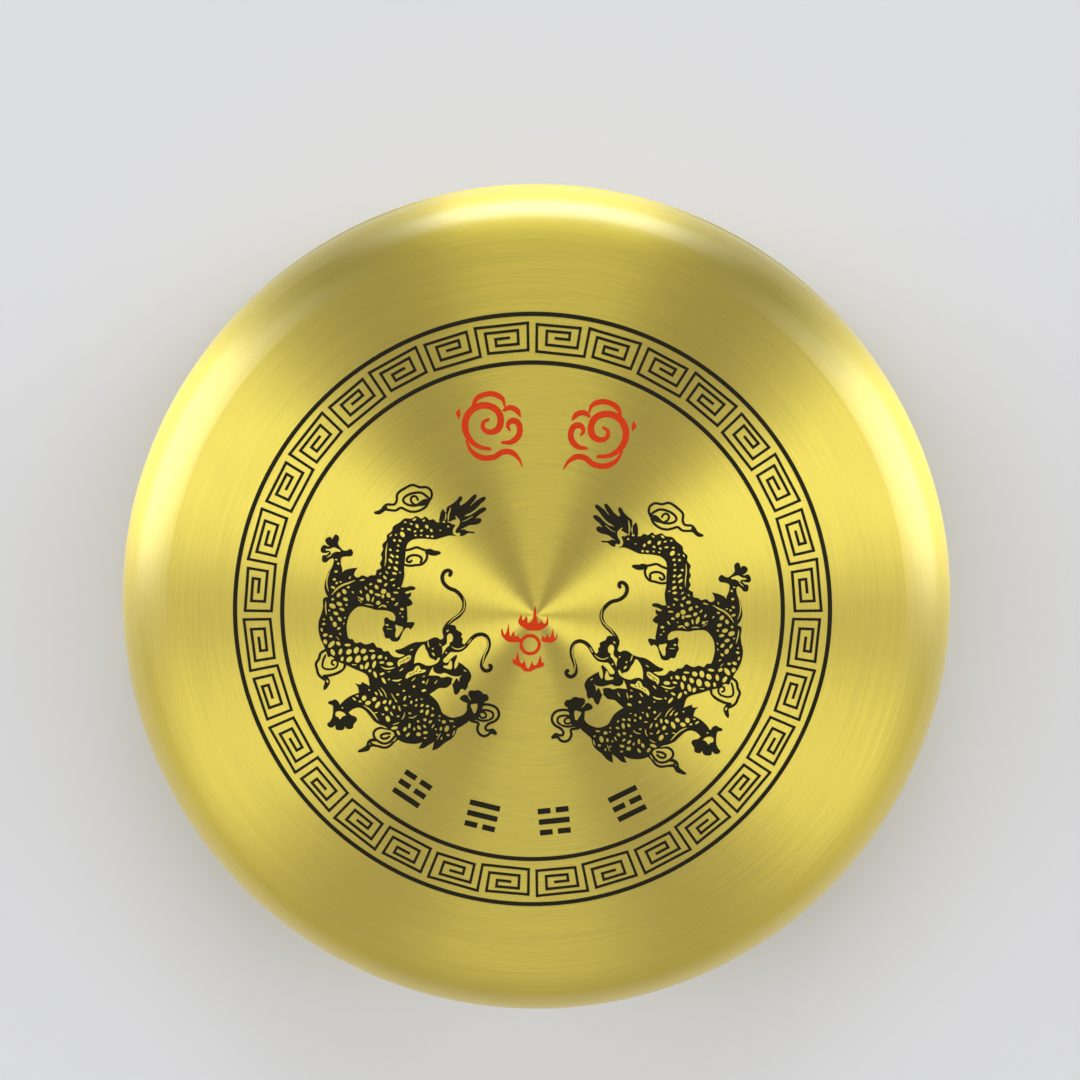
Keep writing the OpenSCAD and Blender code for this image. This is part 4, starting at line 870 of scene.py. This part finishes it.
def add_piece(name, verts, faces, material, body, smooth=False):
    """A mesh as a piece of its own that rides on a body."""
    mesh = bpy.data.meshes.new(name)
    mesh.from_pydata(verts, [], faces)
    mesh.materials.append(material)
    if smooth:
        mesh.shade_smooth()
    piece = bpy.data.objects.new(name, mesh)
    bpy.context.collection.objects.link(piece)
    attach(piece, body)
    return piece


def print_mesh(name, picture, material, body, level, turn=0.0, shift=(0.0, 0.0), mirror=False):
    """A picture as one thin solid of ink, with real gaps, lying on a flat face."""
    points, outlines = [], []
    for _, shape in picture.shapes:
        outline = shape if area(shape) > 0 else shape[::-1]
        outlines.append(list(range(len(points), len(points) + len(outline))))
        points += [Vector(corner) for corner in outline]
    places, _, parts, _, _, origins = delaunay_2d_cdt(points, [], outlines, 0, JOIN_DISTANCE, True)
    # the shape drawn last decides whether a part is ink or gap
    kept = [part for part, origin in zip(parts, origins) if origin and picture.shapes[max(origin)][0]]
    used = sorted({i for part in kept for i in part})
    index = {old: new for new, old in enumerate(used)}
    c, s, side = math.cos(math.radians(turn)), math.sin(math.radians(turn)), -1 if mirror else 1
    flat = [(side * places[i][0] + shift[0], places[i][1] + shift[1]) for i in used]
    flat = [(x * c - y * s, x * s + y * c) for x, y in flat]
    verts = [mm(x, y, z) for z in (level + PRINT_THICK, level - PRINT_SINK) for x, y in flat]
    top = [[index[i] for i in part][::side] for part in kept]
    under = [[i + len(flat) for i in part[::-1]] for part in top]
    edges = [edge for part in top for edge in zip(part, part[1:] + part[:1])]
    inner = set(edges)
    walls = [(a, a + len(flat), b + len(flat), b) for a, b in edges if (b, a) not in inner]
    add_piece(name, verts, top + walls + under, material, body)


def dress_lid():
    """The lid's prints, each its own thin piece."""
    edge, beast, marks, red = Picture(), Picture(), Picture(), Picture()
    border(edge)
    dragon(beast)
    trigrams(marks)
    pearl(red)
    for side in (1, -1):
        cloud(red, -6.5 * side, 21.3, side)
    for name, picture, ink, way in (("lid_border_print", edge, black_ink, {"turn": FRAME_TURN}),
                                    ("lid_dragon_left_print", beast, black_ink, {}),
                                    ("lid_dragon_right_print", beast, black_ink, {"mirror": True}),
                                    ("lid_trigram_print", marks, black_ink, {}),
                                    ("lid_red_print", red, red_ink, {})):
        print_mesh(name, picture, ink, "lid", FACE_Z, shift=PRINT_SHIFT, **way)


# Under the lid
GLYPHS = {
    "0": (((0.3, 1), (0.07, 0.82), (0, 0.5), (0.07, 0.18), (0.3, 0)),
          ((0.3, 1), (0.53, 0.82), (0.6, 0.5), (0.53, 0.18), (0.3, 0))),
    "1": (((0.1, 0.78), (0.34, 1, 1), (0.34, 0)),),
    "2": (((0.03, 0.78), (0.12, 0.95), (0.3, 1), (0.5, 0.92), (0.56, 0.72), (0.45, 0.48), (0.2, 0.22),
           (0, 0, 1), (0.6, 0)),),
    "3": (((0.04, 0.9), (0.3, 1), (0.54, 0.85), (0.5, 0.62), (0.26, 0.53, 1), (0.5, 0.45), (0.6, 0.26),
           (0.5, 0.07), (0.28, 0), (0.02, 0.1)),),
    "4": (((0.46, 1), (0, 0.3, 1), (0.64, 0.3)), ((0.46, 1), (0.46, 0))),
    "5": (((0.54, 1), (0.1, 1, 1), (0.06, 0.54, 1), (0.3, 0.63), (0.54, 0.5), (0.6, 0.3), (0.48, 0.06),
           (0.26, 0), (0.02, 0.09)),),
    "6": (((0.52, 0.93), (0.3, 1), (0.08, 0.75), (0, 0.35), (0.1, 0.07), (0.3, 0)),
          ((0.3, 0), (0.52, 0.08), (0.6, 0.3), (0.5, 0.52), (0.3, 0.6), (0.1, 0.5), (0.03, 0.38))),
    "7": (((0, 1), (0.6, 1, 1), (0.22, 0)),),
    "8": (((0.3, 1), (0.1, 0.92), (0.08, 0.68), (0.3, 0.54), (0.56, 0.38), (0.56, 0.12), (0.3, 0)),
          ((0.3, 1), (0.5, 0.92), (0.52, 0.68), (0.3, 0.54), (0.04, 0.38), (0.04, 0.12), (0.3, 0))),
    "9": (((0.08, 0.07), (0.3, 0), (0.52, 0.25), (0.6, 0.65), (0.5, 0.93), (0.3, 1)),
          ((0.3, 1), (0.08, 0.92), (0, 0.7), (0.1, 0.48), (0.3, 0.4), (0.5, 0.5), (0.57, 0.62))),
    "N": (((0, 0), (0, 1, 1), (0.62, 0, 1), (0.62, 1)),),
    "E": (((0.56, 1), (0, 1, 1), (0, 0, 1), (0.56, 0)), ((0, 0.52), (0.46, 0.52))),
    "S": (((0.56, 0.88), (0.3, 1), (0.05, 0.85), (0.1, 0.62), (0.3, 0.52), (0.5, 0.42), (0.58, 0.2),
           (0.42, 0.03), (0.2, 0), (0, 0.12)),),
    "W": (((0, 1), (0.15, 0, 1), (0.33, 0.75, 1), (0.51, 0, 1), (0.66, 1)),),
}
TRIGRAMS = ((0, 1, 0), (0, 0, 1), (1, 0, 0), (0, 1, 1), (1, 0, 1), (0, 0, 0), (1, 1, 0), (1, 1, 1))


def word(p, letters, radius, azimuth, size, weight):
    """Plain figures or letters whose top points outwards."""
    for k, letter in enumerate(letters):
        left = ((k - len(letters) / 2) * GLYPH_PITCH + (GLYPH_PITCH - GLYPH_WIDTH) / 2) * size
        for stroke in GLYPHS[letter]:
            p.line(weight, *[outward(radius + (y - 0.5) * size, azimuth, left + x * size) + tuple(corner)
                             for x, y, *corner in stroke])


def bar(p, radius, azimuth, length, thick, across=0.0):
    """A straight bar of ink across the radius."""
    u, v = length / 2, thick / 2
    corners = ((-u, -v), (u, -v), (u, v), (-u, v))
    p.block([outward(radius + up, azimuth, across + along) for along, up in corners])


def stack(p, lines, radius, azimuth, length, pitch, thick):
    """A trigram or hexagram from its bottom line outwards; a one is whole, a nought is broken."""
    half_bar, half_place = 0.41, 0.295      # of a broken line, as shares of the whole one
    for row, whole in enumerate(lines):
        at = radius + (row - (len(lines) - 1) / 2) * pitch
        if whole:
            bar(p, at, azimuth, length, thick)
        else:
            for side in (-1, 1):
                bar(p, at, azimuth, length * half_bar, thick, side * length * half_place)


def spoke(p, azimuth, inner, outer, width):
    """A thin line that runs outwards."""
    bar(p, (inner + outer) / 2, azimuth, width, outer - inner)


def dress_dial():
    """The dial's bands, from the pool outwards, in black and red."""
    black, red, grooves = Picture(), Picture(), Picture()
    groove_r, groove_half = DIAL_RINGS[-1], 0.085       # only the outermost of the engraved circles is inked
    grooves.ring(0, 0, groove_r + groove_half, groove_r - groove_half, CIRCLE_SIDES)
    middle = [(a + b) / 2 for a, b in zip(DIAL_RINGS, DIAL_RINGS[1:])]
    margin, hair = 0.2, 0.13

    def divide(azimuth, bands, width=hair):
        for band in bands:
            spoke(black, azimuth, DIAL_RINGS[band] + margin, DIAL_RINGS[band + 1] - margin, width)

    # the eight trigrams and the nine-square numbers, odd ones red, from north round by the east
    for k, (lines, number) in enumerate(zip(TRIGRAMS, "18349276")):
        stack(black, lines, middle[0], 45 * k, 3.0, 0.95, 0.48)
        word(red if int(number) % 2 else black, number, middle[1], 45 * k, 2.1, 0.3)
        divide(45 * k + 22.5, (0, 1))
    # twenty-four directions, numbered, with their marks outside them
    for k in range(24):
        word(black, str(k + 1), middle[2], 15 * k, 1.45, 0.21)
        divide(15 * k + 7.5, (2, 3))
        for part in (-1, 0, 1):
            spot = outward(middle[3], 15 * k + 4.5 * part)
            if (k + part) % 2:
                red.ring(*spot, 0.5, 0.3, DOT_SIDES)
            else:
                black.disc(*spot, 0.42, DOT_SIDES)
    # sixty-four hexagrams
    for k in range(64):
        stack(black, [k >> bit & 1 for bit in range(6)], middle[4], (k + 0.5) * 5.625, 1.9, 0.58, 0.26)
        divide(k * 5.625, (4,), 0.1)
    # degrees
    end = DIAL_RINGS[6] - margin
    for degree in range(360):
        length = 1.6 if degree % 10 == 0 else 1.15 if degree % 5 == 0 else 0.75
        spoke(black, degree, end - length, end, 0.14 if degree % 5 else 0.18)
    for degree in range(0, 360, 10):
        word(black if degree % 90 else red, str(degree), DIAL_RINGS[5] + 1.22, degree, 1.2, 0.19)
    print_mesh("dial_groove_ink", grooves, black_ink, "dial", GROOVE_Z)
    print_mesh("dial_black_print", black, black_ink, "dial", DIAL_Z)
    print_mesh("dial_red_print", red, red_ink, "dial", DIAL_Z)


def dress_ring():
    """The fixed ring: ticks by the dial, directions and degrees further out, and a circle round them."""
    black, red = Picture(), Picture()
    scale_r, circle_r, circle_half = RING_INNER + 0.4, LEVEL_R + 3.18, 0.07
    black.ring(0, 0, circle_r + circle_half, circle_r - circle_half, CIRCLE_SIDES)
    for azimuth in range(0, 360, 5):
        length = 1.5 if azimuth % 15 == 0 else 0.9
        if abs(azimuth - TUBE_LEVEL_AZIMUTH) < 10:
            length = 0.45           # the tube level starts just outside these
        if azimuth != ROUND_LEVEL_AZIMUTH:
            spoke(black, azimuth, scale_r, scale_r + length, 0.16)
    names_r = LEVEL_R + 1.4
    for k, letter in enumerate("NESW"):
        word(red if letter == "N" else black, letter, names_r, 90 * k, 2.3, 0.36)
        for degree in (90 * k + 30, 90 * k + 60):
            word(black, str(degree), names_r, degree, 1.6, 0.24)
    print_mesh("ring_black_print", black, black_ink, "case", DIAL_Z)
    print_mesh("ring_north_print", red, red_ink, "case", DIAL_Z)


def dress_pool():
    """North line and two dots on the pool's floor, and a painted needle tip."""
    line, tip = Picture(), Picture()
    for azimuth in (0, 180):
        spoke(line, azimuth, 0.9, 7.5, 0.34)
    for azimuth in (-14, 14):
        line.disc(*outward(5.6, azimuth), 0.42, DOT_SIDES)
    print_mesh("pool_line_print", line, red_ink, "dial", POOL_FLOOR_Z)
    tip.block([(0, 7.12), (-0.85, 5.06), (-0.44, 5.42), (0.44, 5.42), (0.85, 5.06)])
    print_mesh("needle_tip_paint", tip, red_ink, "needle_body", NEEDLE_Z)


def dress_levels():
    """The target ring on the round level's window and the two lines round the tube level."""
    target = Picture()
    target.ring(*outward(LEVEL_R, ROUND_LEVEL_AZIMUTH), 1.22, 1.08, 40)
    print_mesh("round_level_mark", target, black_ink, "case", ROUND_WINDOW_Z)
    arc, width, thick, steps, aside = 70, 0.22, 0.02, 20, 1.6
    outwards = Vector((*outward(1, TUBE_LEVEL_AZIMUTH), 0))
    direction = Vector((-outwards.y, outwards.x, 0))
    for name, along in (("tube_level_mark_a", -aside), ("tube_level_mark_b", aside)):
        verts, faces = [], []
        for k in range(steps + 1):
            angle = math.radians(-arc + 2 * arc * k / steps)
            for radius in (VIAL_R - thick / 2, VIAL_R + thick):
                for side in (-1, 1):
                    spot = (outwards * (LEVEL_R + radius * math.sin(angle))
                            + direction * (along + side * width / 2))
                    verts.append(mm(spot.x, spot.y, VIAL_Z + radius * math.cos(angle)))
        for a in range(0, 4 * steps, 4):
            for i, j in ((0, 1), (1, 3), (3, 2), (2, 0)):
                faces.append((a + i, a + 4 + i, a + 4 + j, a + j))
        faces += [(0, 1, 3, 2), (4 * steps, 4 * steps + 2, 4 * steps + 3, 4 * steps + 1)]
        add_piece(name, verts, faces, black_ink, "case")


def tube(path, radius, sides, closed):
    """Vertices and faces of a round tube along a path of vectors."""
    verts, faces = [], []
    count = len(path)
    side = Vector((0, 0, 1))
    for i, point in enumerate(path):
        if closed:
            ahead = (path[(i + 1) % count] - path[i - 1]).normalized()
        else:
            ahead = (path[min(i + 1, count - 1)] - path[max(i - 1, 0)]).normalized()
        side = (side - ahead * side.dot(ahead)).normalized()
        other = ahead.cross(side)
        for k in range(sides):
            angle = 2 * math.pi * k / sides
            verts.append(point + side * radius * math.cos(angle) + other * radius * math.sin(angle))
    for i in range(count if closed else count - 1):
        a, b = i * sides, (i + 1) % count * sides
        faces += [(a + k, a + (k + 1) % sides, b + (k + 1) % sides, b + k) for k in range(sides)]
    if not closed:
        faces += [tuple(range(sides))[::-1], tuple(range((count - 1) * sides, count * sides))]
    return verts, faces


def twisted_thread(name, node, azimuth, height):
    """Three strands laid round each other between two knots."""
    strand_r, pitch, per_turn, sides = THREAD_R * 0.52, 1.15, 10, 6
    cord_r, loop_r, knot_steps = 0.1, KNOT_R - 0.09, 60
    turn = Matrix.Rotation(math.radians(-azimuth), 3, "Z")
    verts, faces = [], []

    def join(path, radius, closed):
        more, quads = tube(path, radius, sides, closed)
        start = len(verts)
        verts.extend(turn @ spot * MM for spot in more)
        faces.extend(tuple(start + i for i in quad) for quad in quads)

    count = round(2 * KNOT_PLACE / pitch * per_turn)
    off = THREAD_R - strand_r
    for strand in range(3):
        path = []
        for i in range(count + 1):
            along = -KNOT_PLACE + 2 * KNOT_PLACE * i / count
            angle = 2 * math.pi * (i / per_turn + strand / 3)
            path.append(Vector((off * math.cos(angle), along, height + off * math.sin(angle))))
        join(path, strand_r, False)
    for side in (-1, 1):
        knot = []
        for k in range(knot_steps):
            t = 2 * math.pi * k / knot_steps
            # a trefoil that reaches three units from its middle
            loop = Vector((math.sin(t) + 2 * math.sin(2 * t), -math.sin(3 * t) * 1.6,
                           math.cos(t) - 2 * math.cos(2 * t)))
            knot.append(loop * loop_r / 3 + Vector((0, side * KNOT_PLACE, height)))
        join(knot, cord_r, True)
    piece = add_piece(name, verts, faces, red_cotton, "case", smooth=True)
    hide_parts(node)


# Floor, lights and sky
def make_floor():
    """A wide, plain, pale floor under the case."""
    reach = FLOOR_REACH
    mesh = bpy.data.meshes.new("studio_floor")
    mesh.from_pydata([(-reach, -reach, 0), (reach, -reach, 0), (reach, reach, 0), (-reach, reach, 0)],
                     [], [(0, 1, 2, 3)])
    floor = bpy.data.objects.new("studio_floor", mesh)
    bpy.context.collection.objects.link(floor)
    n = Nodes("studio_floor")
    soft = n.noise(n.position(), 6.0, 4.0)
    grain = n.noise(n.position(), 900.0)
    n.set(Base_Color=n.mix(n.spread(soft), (0.68, 0.67, 0.65, 1), (0.71, 0.7, 0.68, 1)), Roughness=0.75,
          Normal=n.bump(grain, 0.05 * MM, 0.3))
    mesh.materials.append(n.material)


def panel(name, azimuth, span, low, high, radiance):
    """An upright soft light. Azimuth runs clockwise from the picture's 12 o'clock, angles are in degrees."""
    width = 2 * PANEL_AWAY * math.tan(math.radians(span / 2))
    bottom, top = (PANEL_AWAY * math.tan(math.radians(angle)) for angle in (low, high))
    data = bpy.data.lights.new(name, "AREA")
    data.shape, data.size, data.size_y = "RECTANGLE", width * MM, (top - bottom) * MM
    data.energy, data.color = radiance * math.pi * data.size * data.size_y, PANEL_COLOUR
    light = bpy.data.objects.new(name, data)
    bpy.context.collection.objects.link(light)
    x, y = outward(1, azimuth - FRAME_TURN)
    light.location = mm(PANEL_AWAY * x, PANEL_AWAY * y, FACE_Z + (bottom + top) / 2)
    light.rotation_euler = Vector((x, y, 0)).to_track_quat("Z", "Y").to_euler()
    light.visible_camera = False


def soft_panel(name, azimuth, span, low, high, radiance):
    """A panel with narrow ones at both ends that fade out."""
    panel(name, azimuth, span, low, high, radiance)
    for step, share in enumerate(EDGE_FADE):
        off = span / 2 + (step + 0.5) * EDGE_SPAN
        for side, end in ((-1, "a"), (1, "b")):
            panel(f"{name}_{end}{step}", azimuth + side * off, EDGE_SPAN, low, high, radiance * share)


def make_world():
    """A soft sky over a pale backdrop. It is dim over the picture's top half, fair over its bottom half,
    and paler overhead than low down."""
    world = bpy.data.worlds.new("studio_world")
    bpy.context.scene.world = world
    world.use_nodes = True
    tree = world.node_tree

    def add(kind, *links):
        node = tree.nodes.new(kind)
        for socket, source in zip(node.inputs, links):
            tree.links.new(source, socket)
        return node

    place = add("ShaderNodeTexCoord")
    split = add("ShaderNodeSeparateXYZ", place.outputs["Generated"])

    def change(axis, *limits):
        """A soft change along an axis: its two ends, and the values there."""
        node = add("ShaderNodeMapRange", split.outputs[axis])
        node.interpolation_type = "SMOOTHSTEP"
        for socket, value in zip(list(node.inputs)[1:], limits):
            socket.default_value = value
        return node.outputs[0]

    level = add("ShaderNodeMath", change("Y", -SKY_BLEND, SKY_BLEND, SKY_FAIR, SKY_DIM),
                change("Z", SKY_LOW, SKY_HIGH, SKY_LOW_SHARE, 1.0))
    level.operation = "MULTIPLY"
    sky, backdrop = tree.nodes["Background"], add("ShaderNodeBackground")
    sky.inputs["Color"].default_value = SKY_COLOUR
    tree.links.new(level.outputs[0], sky.inputs["Strength"])
    backdrop.inputs["Color"].default_value = BACKDROP_COLOUR
    both = add("ShaderNodeMixShader", change("Z", BACKDROP_LOW, BACKDROP_HIGH, 0.0, 1.0),
               backdrop.outputs[0], sky.outputs[0])
    tree.links.new(both.outputs[0], tree.nodes["World Output"].inputs["Surface"])


dress_lid()
dress_dial()
dress_ring()
dress_pool()
dress_levels()
twisted_thread("thread_north_south_twist", "thread_north_south", 0, LOW_THREAD_Z)
twisted_thread("thread_east_west_twist", "thread_east_west", 90, HIGH_THREAD_Z)
make_floor()
make_world()
soft_panel("light_left", -73, 31, 7, 66, 3.0)
soft_panel("light_right", 76, 30, 7, 66, 3.0)
soft_panel("light_top", 2, 33, 3, 34, 4.6)

bpy.context.scene.view_settings.view_transform = "Standard"
